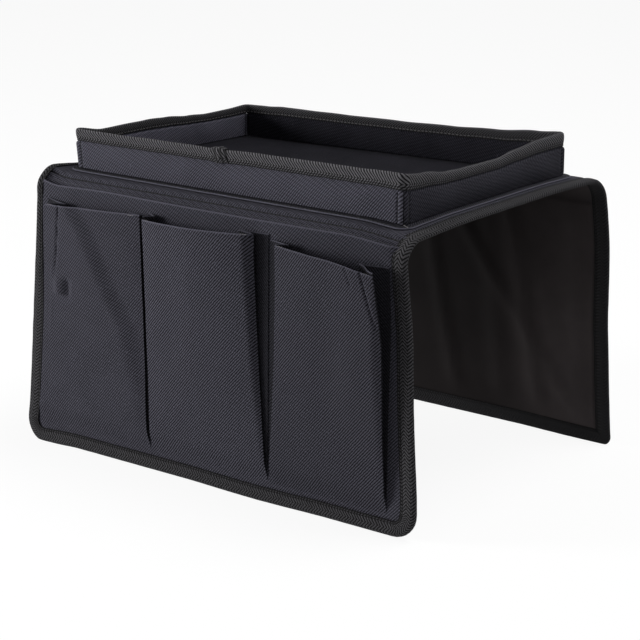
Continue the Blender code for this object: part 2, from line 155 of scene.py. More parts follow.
class PocketSizes(bpy.types.PropertyGroup):
    wide_drop: length("Wide drop", "From the top face to the wide pocket's hem", 0.005)
    wide_mouth: length("Wide mouth", "How far the wide pocket's mouth bows out", 0.005)
    drop: length("Drop", "From the top face to the pleated pockets' hems", 0.0145)
    mouth: length("Mouth", "The widest opening of a pleated pocket", 0.021)
    pleat: length("Pleat", "Depth of the pleats at the pockets' sides", 0.012)
    pocket_gap: length("Pocket gap", "Space between the seams of two pockets", 0.0015)
    turning: length("Turning", "Depth of the turned hems", 0.009)


class Finishes(bpy.types.PropertyGroup):
    twill: color("Twill", "The outer cloth", (0.040, 0.039, 0.050))
    tape: color("Tape", "The binding tape", (0.038, 0.037, 0.040))
    lining: color("Lining", "The smooth lining", (0.0072, 0.0062, 0.0063))
    board: color("Board", "The grey board inside", (0.300, 0.262, 0.205))
    thread: color("Thread", "The sewing thread", (0.012, 0.012, 0.013))
    pale_thread: color("Pale thread", "Loose thread ends and fastenings", (0.200, 0.190, 0.195))
    floor: color("Floor", "The studio's floor", (0.78, 0.78, 0.78))
    rib_across: length("Rib across", "The twill's ribs, counted along the hem", 0.0020)
    rib_down: length("Rib down", "The twill's ribs, counted down the flap", 0.00215)
    tape_rib: length("Tape rib", "The tape's ribs, counted along it", 0.0022)
    tape_column: length("Tape column", "Width of one column of the tape's herringbone", 0.0032)
    rim_column: length("Rim column", "The same on the tray's tape", 0.0062)


GROUPS = {
    "organizer_saddle": SaddleSizes,
    "organizer_cloth": ClothSizes,
    "organizer_tray": TraySizes,
    "organizer_pockets": PocketSizes,
    "organizer_finishes": Finishes,
}


# Small sums


def mix(start, end, share):
    return start + (end - start) * share


def ramp(value, start, end):
    """0 before start, 1 after end and straight between."""
    return min(max((value - start) / (end - start), 0.0), 1.0)


def ease(value, start, end):
    """0 before start, 1 after end and smooth between."""
    share = ramp(value, start, end)
    return share * share * (3.0 - 2.0 * share)


def hump(value, middle, reach):
    """1 at the middle, falling smoothly to 0 at that reach on either side."""
    return 1.0 - ease(abs(value - middle), 0.0, reach)


def shares(count):
    """From 0 to 1 in that many steps."""
    return [step / count for step in range(count + 1)]


def spread(start, end, count):
    """From start to end in that many steps."""
    return [mix(start, end, share) for share in shares(count)]


def wander(x, y, size, seed):
    """Smooth noise between about -1 and 1, with features of that size."""
    return noise.noise(Vector((x / size, y / size, seed)))


def polar(center, spoke, turn):
    return center + Matrix.Rotation(turn, 2) @ spoke


def rounded(before, corner, after, radius, steps):
    """Points on the arc that rounds a corner."""
    back = (before - corner).normalized()
    ahead = (after - corner).normalized()
    half = back.angle(ahead) / 2
    center = corner + (back + ahead).normalized() * radius / math.sin(half)
    spoke = corner + back * radius / math.tan(half) - center
    sweep = math.pi - 2 * half
    way = 1.0 if (corner - before).cross(after - corner) > 0 else -1.0
    return [polar(center, spoke, way * sweep * share) for share in shares(steps)]


def distances(points):
    """How far along the line each of its points lies."""
    run = [0.0]
    for start, end in zip(points, points[1:]):
        run.append(run[-1] + (end - start).length)
    return run


def with_normal(place_at, out, away=1.0):
    """The place that far out, and the direction in which it moves further away."""
    point = place_at(out)
    return point, (place_at(out + away * PROBE) - point).normalized()


# Places


class Saddle:
    """The saddle's layers and places, worked out from its sizes."""

    # Where the photographed cloth has settled: side, x as a share of half the top's length, the
    # run as a share of the whole, the reach along x and along the run, and the move.
    SETTLED = (
        (FRONT, 1.0, 0.37, 0.050, 0.060, (-0.0035, 0.0, -0.0035)),
        (FRONT, -1.0, 0.36, 0.022, 0.042, (0.0, 0.0, 0.0030)),
        (FRONT, -1.0, 1.0, 0.040, 0.060, (-0.0008, 0.0, -0.0022)),
        (FRONT, 0.25, 1.0, 0.060, 0.060, (0.0, 0.0, -0.0010)),
        (FRONT, 1.05, 0.95, 0.040, 0.070, (0.0017, 0.0, 0.0)),
        (BACK, 1.0, 0.37, 0.050, 0.060, (0.0021, 0.0, -0.0010)),
        (BACK, 1.0, 0.51, 0.080, 0.062, (0.0020, 0.0036, 0.0)),
        (BACK, 1.0, 0.70, 0.080, 0.075, (0.0007, 0.0012, 0.0)),
        (BACK, 1.0, 1.0, 0.070, 0.060, (0.0004, 0.0, -0.0012)),
    )
    # How far the tray's corners are lifted: front left, front right, back right and back left.
    LIFTS = (0.0016, 0.0021, 0.0036, -0.0033)
    # The run past a fold in which that lift fades away.
    LIFT_FADE = 0.03
    # From the seam beside the tape to where the cloth lies flat on its board.
    FLAT_STEP = 0.0015
    # Where the cloth starts and ends its climb onto a flap's board, past the fold.
    FLAP_CLIMB = (0.0005, 0.0045)
    # How far the two seams over a fold have turned round it.
    SEAM_TURNS = (math.radians(30), math.radians(46))
    # Steps of the run: the usual one, the one round a fold, and the least that a last one may be.
    STEP = 0.005
    FOLD_STEP = 0.0007
    LEAST_STEP = 0.0005
    # How far before a fold its closer steps start.
    FOLD_MARGIN = 0.001

    def __init__(self):
        scene = bpy.context.scene
        self.sizes = sizes = scene.organizer_saddle
        self.cloth = cloth = scene.organizer_cloth
        self.pockets = scene.organizer_pockets
        inner = cloth.board / 2 + cloth.gap
        self.raised = inner + cloth.cloth / 2
        self.sewn = cloth.gap / 2 + cloth.cloth / 2
        self.lining_raised = inner + cloth.lining / 2
        self.lining_sewn = cloth.gap / 2 + cloth.lining / 2
        self.face = inner + cloth.cloth
        self.middle_z = inner + cloth.lining
        self.top_z = self.middle_z + self.face
        self.half_top = sizes.top_length / 2
        self.half_hem = self.half_top + sizes.hem_flare
        self.turn = math.pi / 2 - sizes.splay
        self.reach = sizes.fold_radius * math.tan(self.turn / 2)
        self.fold_start = sizes.width / 2 - self.face - self.reach
        self.fold_end = self.fold_start + sizes.fold_radius * self.turn
        self.hem = self.fold_end + (sizes.height - self.face) / math.cos(sizes.splay) - self.reach
        self.seam = cloth.tape_width + cloth.gap
        self.flat_edge = self.seam + self.FLAT_STEP
        self.board_edge = self.flat_edge + cloth.gap

    def corner(self, side):
        return self.sizes.front_corner if side == FRONT else self.sizes.back_corner

    def half_length(self, run):
        return mix(self.half_top, self.half_hem, ramp(run, self.fold_end, self.hem))

    def corner_center(self, side):
        start = self.hem - self.corner(side)
        return start, self.half_length(start) - self.corner(side)

    def half_width(self, side, run, inset):
        """Half the flap's width between lines that lie inset from its edges, round its corners too."""
        start, center = self.corner_center(side)
        radius = self.corner(side) - inset
        if run <= start or radius <= 0:
            return self.half_length(run) - inset
        return center + math.sqrt(max(radius**2 - (run - start) ** 2, 0.0))

    def edge(self, side, x, run):
        """How far in from the bound edge a place lies."""
        start, center = self.corner_center(side)
        if run > start and abs(x) > center:
            return self.corner(side) - math.hypot(abs(x) - center, run - start)
        return min(self.half_length(run) - abs(x), self.hem - run)

    def settled(self, side, x, run):
        """How far the cloth has settled away from its drawn place."""
        left = ramp(x, self.half_top, -self.half_top)
        front = 0.5 - 0.5 * side * min(run / self.fold_start, 1.0)
        front_left, front_right, back_right, back_left = self.LIFTS
        left_lift = mix(back_left, front_left, front)
        right_lift = mix(back_right, front_right, front)
        lift = mix(left_lift, right_lift, 1.0 - left)
        lift *= 1.0 - ease(run, self.fold_start, self.fold_end + self.LIFT_FADE)
        move = Vector((0.0, 0.0, lift))
        for where, across, along, reach_x, reach_run, pull in self.SETTLED:
            if where == side:
                near = hump(x, across * self.half_top, reach_x)
                move += Vector(pull) * near * hump(run, along * self.hem, reach_run)
        return move

    def curved(self, side, x, run, out):
        """A place that follows the cloth over the fold."""
        radius = self.sizes.fold_radius
        angle = (min(max(run, self.fold_start), self.fold_end) - self.fold_start) / radius
        y = min(run, self.fold_start) + (radius + out) * math.sin(angle)
        z = self.middle_z - radius + (radius + out) * math.cos(angle)
        hang = max(run - self.fold_end, 0.0)
        y += hang * math.cos(self.turn)
        z -= hang * math.sin(self.turn)
        return Vector((x, side * y, z)) + self.settled(side, x, run)

    def straight(self, side, x, run, out):
        """A place in the flap's own plane, which goes straight on past the fold."""
        radius = self.sizes.fold_radius
        hang = run - self.fold_end
        y = self.fold_start + (radius + out) * math.sin(self.turn) + hang * math.cos(self.turn)
        z = self.middle_z - radius + (radius + out) * math.cos(self.turn)
        z -= hang * math.sin(self.turn)
        return Vector((x, side * y, z)) + self.settled(side, x, run)

    def board_share(self, run):
        """1 where a board lies under the cloth and 0 in the fold between two boards."""
        middle = self.fold_start + self.sizes.fold_radius * 0.5
        top = 1.0 - ease(run, self.fold_start - self.FOLD_MARGIN, middle)
        return top + ease(run, *(self.fold_end + past for past in self.FLAP_CLIMB))

    def layer_out(self, side, x, run, sewn, raised):
        """How far out a layer lies that is sewn down at the edges and raised by the boards."""
        climb = ease(self.edge(side, x, run), self.seam - 0.0002, self.seam + self.cloth.ease)
        return mix(sewn, raised, climb * self.board_share(run))

    def runs(self, start, end):
        """Evenly spaced runs with closer ones round the fold."""
        marks = [start]
        while marks[-1] < end - self.LEAST_STEP:
            near_fold = self.fold_start - self.FOLD_MARGIN < marks[-1] < self.fold_end + self.STEP
            marks.append(min(marks[-1] + (self.FOLD_STEP if near_fold else self.STEP), end))
        return marks

    def seam_run(self, number):
        """Where one of the two rows of stitches over the fold lies."""
        return self.fold_start + self.sizes.fold_radius * self.SEAM_TURNS[number]

    def drop_run(self, drop):
        """The run of a place on the hanging flap that far below the top face."""
        return self.fold_end + drop - self.face - self.reach

    def stretch(self, side):
        """Where the body changes from the top panel to a flap, as start and end for a blend."""
        middle = self.fold_start + self.sizes.fold_radius * self.turn
        start = self.curved(side, 0.0, self.fold_start, 0.0)
        end = self.curved(side, 0.0, middle, 0.0)
        return start - self.settled(side, 0.0, self.fold_start), end - self.settled(side, 0.0, middle)


class Tray:
    """The tray's walls: a place is the distance t along a wall from its middle, out and up."""

    # How far the rim has sagged or risen round the tray, in millimetres: the place is a count of
    # walls from the front left corner.
    RIM = (
        (0.00, -1.0), (0.14, -0.9), (0.28, 0.0), (0.45, 0.2), (0.57, 1.5), (0.85, 2.4),
        (0.97, 3.3), (1.10, 1.0), (1.24, -2.1), (1.34, -2.8), (1.56, -3.2), (1.69, -0.4),
        (1.85, 1.8), (2.00, 2.5), (2.07, 1.0), (2.19, -1.8), (2.32, -3.8), (2.50, -5.4),
        (2.69, -6.5), (2.87, -7.1), (2.93, -8.3), (3.00, -8.7), (3.12, -9.5), (3.25, -9.4),
        (3.37, -7.9), (3.50, -5.6), (3.62, -4.4), (3.87, -4.4), (4.00, -1.0),
    )
    # How far the rim leans to the left at the front left corner.
    FRONT_LEFT_LEAN = 0.0030
    # How far in from the middle of a corner the close stations of a wall lie.
    CLOSE = (0.0, 0.0006, 0.0012, 0.0018, 0.0024, 0.0028, 0.0031, 0.0034, 0.0038, 0.0046, 0.0065)
    # How far a soft wall swells out, and how far it is ridged in the corners.
    SWELL = 0.0019
    RIDGE = 0.0008
    # From the middle of a corner to the row of stitches on either side of it.
    CORNER_SEAM = 0.0031

    def __init__(self, saddle):
        self.saddle = saddle
        self.sizes = sizes = bpy.context.scene.organizer_tray
        self.cloth = saddle.cloth
        self.half = (
            saddle.half_top - sizes.end_space - saddle.face,
            saddle.sizes.width / 2 - sizes.side_space - saddle.face,
        )
        self.radius = sizes.radius - saddle.face
        self.seam = sizes.height - self.cloth.rim_tape_width - self.cloth.gap

    def reach(self, wall):
        """Half a wall's length, from its middle to the middle of a corner."""
        return self.half[wall % 2] - self.radius + self.radius * math.pi / 4

    def stations(self, wall, step):
        """Distances along a wall, closer near its corners."""
        *near, inner = (self.reach(wall) - inset for inset in self.CLOSE)
        middle = spread(-inner, inner, math.ceil(2 * inner / step))
        return [-t for t in near] + middle + near[::-1]

    def settled(self, wall, t, x, y, up):
        """How far a place has moved with the saddle under it and with the rim over it."""
        side = BACK if y > 0 else FRONT
        move = self.saddle.settled(side, x, abs(y))
        height = up / self.sizes.height
        place = (wall + 0.5 + 0.5 * t / self.reach(wall)) % 4.0
        move.z = mix(move.z, self.rim_lift(place), height * height)
        corner = min(place, 4.0 - place) * 2 * self.reach(0)
        move.x -= self.FRONT_LEFT_LEAN * height * hump(corner, 0.0, 0.05)
        return move

    def rim_lift(self, place):
        """How far the rim has risen at a place round the tray."""
        for (start, low), (end, high) in zip(self.RIM, self.RIM[1:]):
            if place <= end:
                return mix(low, high, ease(place, start, end)) / 1000
        return self.RIM[-1][1] / 1000

    def place(self, wall, t, out, up):
        along, away = self.half[wall % 2], self.half[1 - wall % 2]
        straight = along - self.radius
        angle = max(abs(t) - straight, 0.0) / self.radius
        hand = 1.0 if t > 0 else -1.0
        across = hand * (min(abs(t), straight) + (self.radius + out) * math.sin(angle))
        forth = away - self.radius + (self.radius + out) * math.cos(angle)
        point = Matrix.Rotation(math.pi / 2 * wall, 2) @ Vector((across, -forth))
        move = self.settled(wall, t, point.x, point.y, up)
        return Vector((point.x, point.y, self.saddle.top_z + up)) + move

    def swell(self, wall, t, up):
        """How far a wall's soft face stands out between its corners and over its foot."""
        height = up / self.sizes.height
        corner = self.reach(wall) - abs(t)
        full = ease(corner, 0.003, 0.03) * math.sin(math.pi * min(height / 0.7, 1.0))
        uneven = 0.8 + 0.5 * wander(t, up, 0.045, 3.0 + wall)
        ridge = self.RIDGE * hump(corner, 0.0, 0.0024)
        ridge -= self.RIDGE * hump(corner, self.CORNER_SEAM, 0.0012)
        return self.SWELL * full * uneven + ridge * ease(up, 0.0, 0.004)


# Pieces


def linked(name, mesh, material, body):
    """A finished mesh as a piece of the organizer that moves with a body."""
    mesh.shade_smooth()
    mesh.set_sharp_from_angle(angle=SHARP_ANGLE)
    mesh.materials.clear()
    mesh.materials.append(material)
    piece = bpy.data.objects.new(name, mesh)
    bpy.context.scene.collection.objects.link(piece)
    if body:
        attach(piece, body)
    return piece


def skin(name, rows, closed=False):
    """A surface over rows of (point, mark); a mark is the cloth's own coordinates, in metres."""
    width = len(rows[0])
    cells = [cell for row in rows for cell in row]
    faces = []
    for row in range(len(rows) if closed else len(rows) - 1):
        near, far = row * width, (row + 1) % len(rows) * width
        faces += [(near + c, near + c + 1, far + c + 1, far + c) for c in range(width - 1)]
    mesh = bpy.data.meshes.new(name)
    mesh.from_pydata([point for point, _ in cells], [], faces)
    given = mesh.attributes.new("cloth", "FLOAT_VECTOR", "POINT")
    given.data.foreach_set("vector", [value for _, mark in cells for value in mark])
    mesh.validate()
    return mesh


def sheet(name, rows, thickness, material, body=None, closed=False):
    """A cloth piece of one thickness about its rows of (point, mark)."""
    mesh = skin(name, rows, closed)
    helper = bpy.data.objects.new(name, mesh)
    bpy.context.scene.collection.objects.link(helper)
    thick = helper.modifiers.new("thickness", "SOLIDIFY")
    thick.thickness = thickness
    thick.offset = 0.0
    graph = bpy.context.evaluated_depsgraph_get()
    made = bpy.data.meshes.new_from_object(helper.evaluated_get(graph))
    bpy.data.objects.remove(helper)
    bpy.data.meshes.remove(mesh)
    return linked(name, made, material, body)


def capsule(start, end, normal, radius):
    """A short stitch as rings of points, its ends drawn in."""
    along = end - start
    across = along.normalized().cross(normal)
    rings = []
    for share, width in STITCH_RINGS:
        center = start + along * share - normal * radius * (0.9 - 0.6 * width)
        turns = [math.pi * 2 * step / RING_POINTS for step in range(RING_POINTS)]
        spokes = [across * math.cos(turn) + normal * math.sin(turn) for turn in turns]
        rings.append([center + spoke * radius * width for spoke in spokes])
    return rings


def stitches(
    name, lines, material, body=None, pitch=STITCH_PITCH, stitch=STITCH_LENGTH, radius=THREAD_RADIUS
):
    """Stitches along lines of (point, normal) as one piece."""
    points, faces = [], []

    def add(rings):
        first = len(points)
        points.extend(point for ring in rings for point in ring)
        count = len(rings[0])
        for ring in range(len(rings) - 1):
            for step in range(count):
                a, b = first + ring * count + step, first + ring * count + (step + 1) % count
                faces.append((a, b, b + count, a + count))
        faces.append(tuple(range(first + count - 1, first - 1, -1)))
        last = first + (len(rings) - 1) * count
        faces.append(tuple(range(last, last + count)))

    for line in lines:
        run = distances([point for point, _ in line])
        index, start = 0, pitch / 2
        while start + stitch < run[-1]:
            ends = []
            for distance in (start, start + stitch):
                while run[index + 1] < distance:
                    index += 1
                share = (distance - run[index]) / (run[index + 1] - run[index])
                ends.append(line[index][0].lerp(line[index + 1][0], share))
            add(capsule(*ends, line[index][1], radius))
            start += pitch
    mesh = bpy.data.meshes.new(name)
    mesh.from_pydata(points, [], faces)
    mesh.validate()
    return linked(name, mesh, material, body)


def hung(piece, saddle, side):
    """Bakes the piece's place into its mesh; where it would change from the top panel to the flap is
    worked out but not used.
    """
    start, end = saddle.stretch(side)
    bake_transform(piece)
    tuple(start)
    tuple(end)


# Finishes


class Wire:
    """A shader socket that can stand in a Python sum; each operation adds its Math node."""

    def __init__(self, shader, socket):
        self.shader = shader
        self.socket = socket

    def math(self, operation, *values):
        return self.shader.node(
            "ShaderNodeMath", {"operation": operation}, dict(enumerate((self, *values)))
        )

    def __add__(self, other):
        return self.math("ADD", other)

    def __mul__(self, other):
        return self.math("MULTIPLY", other)

    def __sub__(self, other):
        return self.math("SUBTRACT", other)

    def __truediv__(self, other):
        return self.math("DIVIDE", other)

    def __rsub__(self, other):
        return self.math("MULTIPLY_ADD", -1.0, other)

    def __rtruediv__(self, other):
        return self.math("POWER", -1.0) * other

    __radd__ = __add__
    __rmul__ = __mul__

    def wave(self):
        """A sine of whole turns, between 0 and 1."""
        return (self * (2 * math.pi)).math("SINE") * 0.5 + 0.5

    def zigzag(self, width):
        return self.math("PINGPONG", width)

    def between(self, start, end):
        """0 at start and 1 at end, smooth and held beyond them."""
        return self.shader.node(
            "ShaderNodeMapRange",
            {"interpolation_type": "SMOOTHSTEP"},
            {0: self, 1: start, 2: end, 3: 0.0, 4: 1.0},
        )


class Shader:
    """The nodes of one material, or of the world."""

    def __init__(self, owner):
        self.owner = owner
        owner.use_nodes = True
        self.tree = owner.node_tree
        self.surface = self.tree.nodes.get("Principled BSDF")

    def node(self, kind, settings=None, sockets=None, output=0):
        made = self.tree.nodes.new(kind)
        for name, value in (settings or {}).items():
            setattr(made, name, value)
        for name, value in (sockets or {}).items():
            if isinstance(value, Wire):
                self.tree.links.new(value.socket, made.inputs[name])
            else:
                made.inputs[name].default_value = value
        return Wire(self, made.outputs[output])

    def parts(self, vector):
        """The three numbers of a vector."""
        split = self.node("ShaderNodeSeparateXYZ", sockets={0: vector}).socket.node
        return [Wire(self, split.outputs[axis]) for axis in range(3)]

    def marks(self):
        """The cloth's marks, along it, down it and in from its edge, and then all three as one."""
        given = self.node("ShaderNodeAttribute", {"attribute_name": "cloth"}, output="Vector")
        return [*self.parts(given), given]

    def speckle(self, place, per_metre, detail=2.0):
        """Noise between 0 and 1."""
        sockets = {"Vector": place, "Scale": per_metre, "Detail": detail}
        return self.node("ShaderNodeTexNoise", sockets=sockets)

    def blended(self, factor, start, end):
        """A colour between two, by factor."""
        colors = [value if isinstance(value, Wire) else (*value, 1.0) for value in (start, end)]
        sockets = {0: factor, 6: colors[0], 7: colors[1]}
        return self.node("ShaderNodeMix", {"data_type": "RGBA"}, sockets, output=2)

    def set(self, name, value):
        socket = self.surface.inputs[name]
        if isinstance(value, Wire):
            self.tree.links.new(value.socket, socket)
        else:
            socket.default_value = value

    def bump(self, height, distance, strength):
        sockets = {"Height": height, "Distance": distance, "Strength": strength}
        self.set("Normal", self.node("ShaderNodeBump", sockets=sockets))


def scaled(tint, factor):
    return tuple(min(channel * factor, 1.0) for channel in tint)


def twill(name, tint, finishes, contrast=1.0, level=-0.30, pale=3.2, gloss=0.10):
    """Cloth: slanting ribs of short floats, lint, edges paled by wear and painted highlight, and
    painted shade where seams draw it in.

    The ribs' contrast, the level of tone under them and the tint of the pale edges can differ.
    """
    shader = Shader(bpy.data.materials.new(name))
    across, down, inward, place = shader.marks()
    slant = across / finishes.rib_across + down / finishes.rib_down
    wobble = shader.speckle(place, 320.0, 2.0)
    slant = slant + wobble * 0.5
    count = slant.math("FLOOR")
    float_run = down / finishes.rib_down - across / finishes.rib_across + count * 0.5
    rib = slant.wave()
    floats = (float_run * 0.5).wave()
    cloudy = shader.speckle(place, 45.0)
    fuzz = shader.speckle(place, 2600.0, 3.0)
    height = rib * (floats * 0.5 + 0.5)
    shade = height * contrast * 1.45 + fuzz * 0.45 + cloudy * 0.25 + level
    body = shader.blended(shade, scaled(tint, 0.22), scaled(tint, 2.3))
    # Pale edges: partly wear of the cloth, partly a painted highlight where folded edges catch the
    # light.
    worn_and_lit_edge = inward.between(-0.0001, 0.0001) * (1.0 - inward.between(0.0002, 0.0010))
    body = shader.blended(worn_and_lit_edge * 0.6, body, scaled(tint, pale))
    # Painted shade: darker where a seam draws the cloth into a groove.
    drawn = 1.0 - inward.between(-0.0010, 0.0)
    body = shader.blended(drawn * 0.8, body, scaled(tint, 0.12))
    lint = shader.speckle(place, 420.0, 1.0).between(0.735, 0.77)
    shader.set("Base Color", shader.blended(lint * 0.5, body, scaled(tint, 3.0)))
    shader.set("Roughness", 0.90 - rib * 0.12)
    shader.set("Specular IOR Level", gloss)
    shader.set("Sheen Weight", 0.01)
    shader.set("Sheen Roughness", 0.4)
    shader.bump(height + fuzz * 0.3, 0.0003, 1.0)
    return shader.owner


def herringbone(name, tint, finishes, column, bright=3.5, shaded=0.80):
    """Binding tape: ribs that turn back at every column, dark at its stitches, with painted shade on
    its inner arm past the fold and a painted shadow along each arm's inner edge.
    """
    shader = Shader(bpy.data.materials.new(name))
    along, across, inward, place = shader.marks()
    turned = across.zigzag(column)
    uneven = shader.speckle(place, 260.0, 2.0) * 0.0012
    rib = ((along - turned * 0.95 + uneven) / finishes.tape_rib).wave().between(0.10, 1.0)
    yarn = ((along + turned * 1.7) / (finishes.tape_rib * 0.42)).wave()
    spine = turned.between(0.0, column * 0.1) * (1.0 - turned.between(column * 0.9, column))
    fuzz = shader.speckle(place, 1900.0, 3.0)
    height = (rib * 0.3 + rib * yarn * 0.6 + yarn * 0.1) * (spine * 0.5 + 0.5)
    shade = height * 1.9 + fuzz * 0.5 - 0.36
    body = shader.blended(shade, scaled(tint, 0.06), scaled(tint, bright))
    # Painted shade: the inner arm, past the fold, is darkened by the shaded share.
    inside = across.between(0.0, 0.0015)
    body = shader.blended(inside * shaded, body, scaled(tint, 0.30))
    sewn = inward.between(0.0010, 0.0016) * (1.0 - inward.between(0.0018, 0.0024))
    body = shader.blended(sewn * 0.75, body, scaled(tint, 0.12))
    # Painted shadow: a dark line along each arm's inner edge, where the tape meets the cloth.
    edge = 1.0 - inward.between(0.0003, 0.0012)
    shader.set("Base Color", shader.blended(edge * 0.9, body, scaled(tint, 0.15)))
    shader.set("Roughness", 0.9 - height * 0.15)
    shader.set("Specular IOR Level", 0.12)
    shader.set("Sheen Weight", 0.01)
    shader.bump(height + fuzz * 0.25, 0.0004, 1.0)
    return shader.owner


def smooth_lining(name, tint):
    """Lining: a close smooth weave with a faint satin gloss, soft clouds, and painted light that pales
    it towards its right end and its hem.
    """
    shader = Shader(bpy.data.materials.new(name))
    across, down, _, place = shader.marks()
    spacing = 0.0005
    weave = (across / spacing).wave() * (down / spacing).wave()
    cloudy = shader.speckle(place, 22.0, 4.0)
    fuzz = shader.speckle(place, 900.0, 2.0)
    shade = weave * 0.3 + cloudy * 0.8 + fuzz * 0.2
    body = shader.blended(shade, scaled(tint, 0.5), scaled(tint, 1.7))
    # Painted light: the lining is made paler, in patches, towards its right end and its hem.
    painted_light = across.between(0.05, 0.15) * 0.85 + down.between(0.17, 0.28) * 0.15
    shader.set("Base Color", shader.blended(painted_light * (cloudy + 0.5), body, scaled(tint, 8.5)))
    shader.set("Roughness", 0.40 + cloudy * 0.20)
    shader.set("Specular IOR Level", 0.026)
    shader.bump(weave + fuzz * 0.4, 0.00005, 0.8)
    return shader.owner


def grey_board(name, tint):
    """Stiffening board: pressed paper with short fibres and darker flecks."""
    shader = Shader(bpy.data.materials.new(name))
    *_, place = shader.marks()
    fibre = shader.speckle(place, 900.0, 6.0)
    fleck = shader.speckle(place, 350.0, 2.0).between(0.66, 0.72)
    body = shader.blended(fibre, scaled(tint, 0.75), scaled(tint, 1.25))
    shader.set("Base Color", shader.blended(fleck * 0.5, body, scaled(tint, 0.4)))
    shader.set("Roughness", 0.9)
    shader.bump(fibre, 0.0001, 0.7)
    return shader.owner


def spun_thread(name, tint):
    """Sewing thread: two plies twisted round each other."""
    shader = Shader(bpy.data.materials.new(name))
    x, y, z = shader.parts(shader.node("ShaderNodeTexCoord", output="Object"))
    ply = ((x + y * 0.7 + z * 1.3) / 0.0006).wave()
    shader.set("Base Color", shader.blended(ply, scaled(tint, 0.6), scaled(tint, 1.5)))
    shader.set("Roughness", 0.6)
    shader.bump(ply, 0.0001, 0.8)
    return shader.owner


# The twills: each one's tint as a share of the outer cloth's, and what else differs.
TWILLS = {
    "outer twill": (1.0, {}),
    "crisp twill": (1.05, {"contrast": 2.0, "level": -0.75}),
    # Painted shade: the third pocket's copy is darker.
    "dark twill": (0.85, {"contrast": 2.0, "level": -0.75}),
    # Painted shade: the pleats' copy is darkened for the shade in the gaps between the pockets.
    "pleat twill": (0.30, {"pale": 11.0}),
    # The seam strip's pale turned edge is mostly a painted highlight.
    "strip twill": (0.55, {"contrast": 0.70, "pale": 11.0}),
    # Painted light: a paler copy for the tray's front outer face.
    "wall twill": (1.40, {}),
    # Painted shade: a darker copy for the tray's right outer face.
    "shaded twill": (0.80, {}),
    "inner twill": (0.72, {"contrast": 0.45, "gloss": 0.02}),
    # Painted light: a much paler copy of the inner twill for the tray's left inner face.
    "painted light inner twill": (3.4, {"contrast": 0.45, "gloss": 0.02}),
    "floor twill": (0.48, {"contrast": 0.45, "gloss": 0.02}),
}


def finish(kind):
    """The material of one kind, made once."""
    if kind in bpy.data.materials:
        return bpy.data.materials[kind]
    tints = bpy.context.scene.organizer_finishes
    if kind in TWILLS:
        share, differences = TWILLS[kind]
        return twill(kind, scaled(tints.twill, share), tints, **differences)
    if kind == "herringbone tape":
        return herringbone(kind, tuple(tints.tape), tints, tints.tape_column)
    if kind == "rim tape":
        pale = scaled(tints.tape, 1.45)
        return herringbone(kind, pale, tints, tints.rim_column, bright=4.8, shaded=0.55)
    if kind == "satin lining":
        return smooth_lining(kind, tuple(tints.lining))
    if kind == "pressed board":
        return grey_board(kind, tuple(tints.board))
    if kind == "sewing thread":
        return spun_thread(kind, tuple(tints.thread))
    return spun_thread(kind, tuple(tints.pale_thread))


# Boards


class ORGANIZER_OT_boards(bpy.types.Operator):
    """Cut the boards of the top panel, the flaps and the tray's walls"""

    bl_idname = "organizer.boards"
    bl_label = "Boards"

    ROWS = 36
    COLUMNS = 48
    WALL_ROWS = 50
    WALL_COLUMNS = 6
    # How far past the fold a flap's board starts.
    FLAP_START = 0.0042
    # The space under a wall's board, and over it up to the rim's seam.
    WALL_ENDS = (0.002, 0.0018)

    def execute(self, context):
        saddle = Saddle()
        self.top(saddle)
        for side in SIDES:
            self.flap(saddle, side)
        tray = Tray(saddle)
        for wall, label in enumerate(WALLS):
            self.wall(tray, wall, label)
        return {"FINISHED"}

    def board(self, name, rows, body, node, saddle):
        rows = [[(point, tuple(point)) for point in row] for row in rows]
        piece = sheet(name, rows, saddle.cloth.board, finish("pressed board"), body)
        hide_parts(node)

    def top(self, saddle):
        half = saddle.half_top - saddle.board_edge
        edge = saddle.fold_start - saddle.cloth.gap / 2
        rows = []
        for y in spread(-edge, edge, self.ROWS):
            side = BACK if y > 0 else FRONT
            row = spread(-half, half, self.COLUMNS)
            rows.append([saddle.curved(side, x, abs(y), 0.0) for x in row])
        self.board("top_board_card", rows, "saddle_top", "top_board", saddle)

    def flap(self, saddle, side):
        label = SIDES[side]
        start, end = saddle.fold_end + self.FLAP_START, saddle.hem - saddle.board_edge
        rows = []
        for run in spread(start, end, self.ROWS):
            half = saddle.half_width(side, run, saddle.board_edge)
            row = [half * share for share in spread(-1, 1, self.COLUMNS)]
            rows.append([saddle.curved(side, x, run, 0.0) for x in row])
        self.board(f"{label}_flap_card", rows, f"{label}_flap", f"{label}_flap_board", saddle)

    def wall(self, tray, wall, label):
        straight = tray.half[wall % 2] - tray.radius
        under, over = self.WALL_ENDS
        levels = spread(under, tray.seam - over, self.WALL_COLUMNS)
        rows = []
        for t in spread(-straight, straight, self.WALL_ROWS):
            rows.append([tray.place(wall, t, 0.0, up) for up in levels])
        name = f"tray_{label}_wall"
        self.board(f"{name}_card", rows, "saddle_top", f"{name}_board", tray.saddle)


# Outer cloth and linings


# How far in from a cloth's edge its close columns lie, how many steps there are between them, and
# how far the edge lies in under the tape.
COLUMN_INSETS = (0.0, 0.004, 0.0085, 0.0098, 0.0104, 0.0110, 0.0116, 0.0124, 0.0140, 0.0170)
COLUMN_STEPS = 56
COLUMN_EDGE = 0.0009


def saddle_columns(saddle):
    """Shares across the half width, closer where the cloth climbs from its seam onto the board."""
    *near, inner = (1.0 - inset / (saddle.half_top - COLUMN_EDGE) for inset in COLUMN_INSETS)
    return [-share for share in near] + spread(-inner, inner, COLUMN_STEPS) + near[::-1]


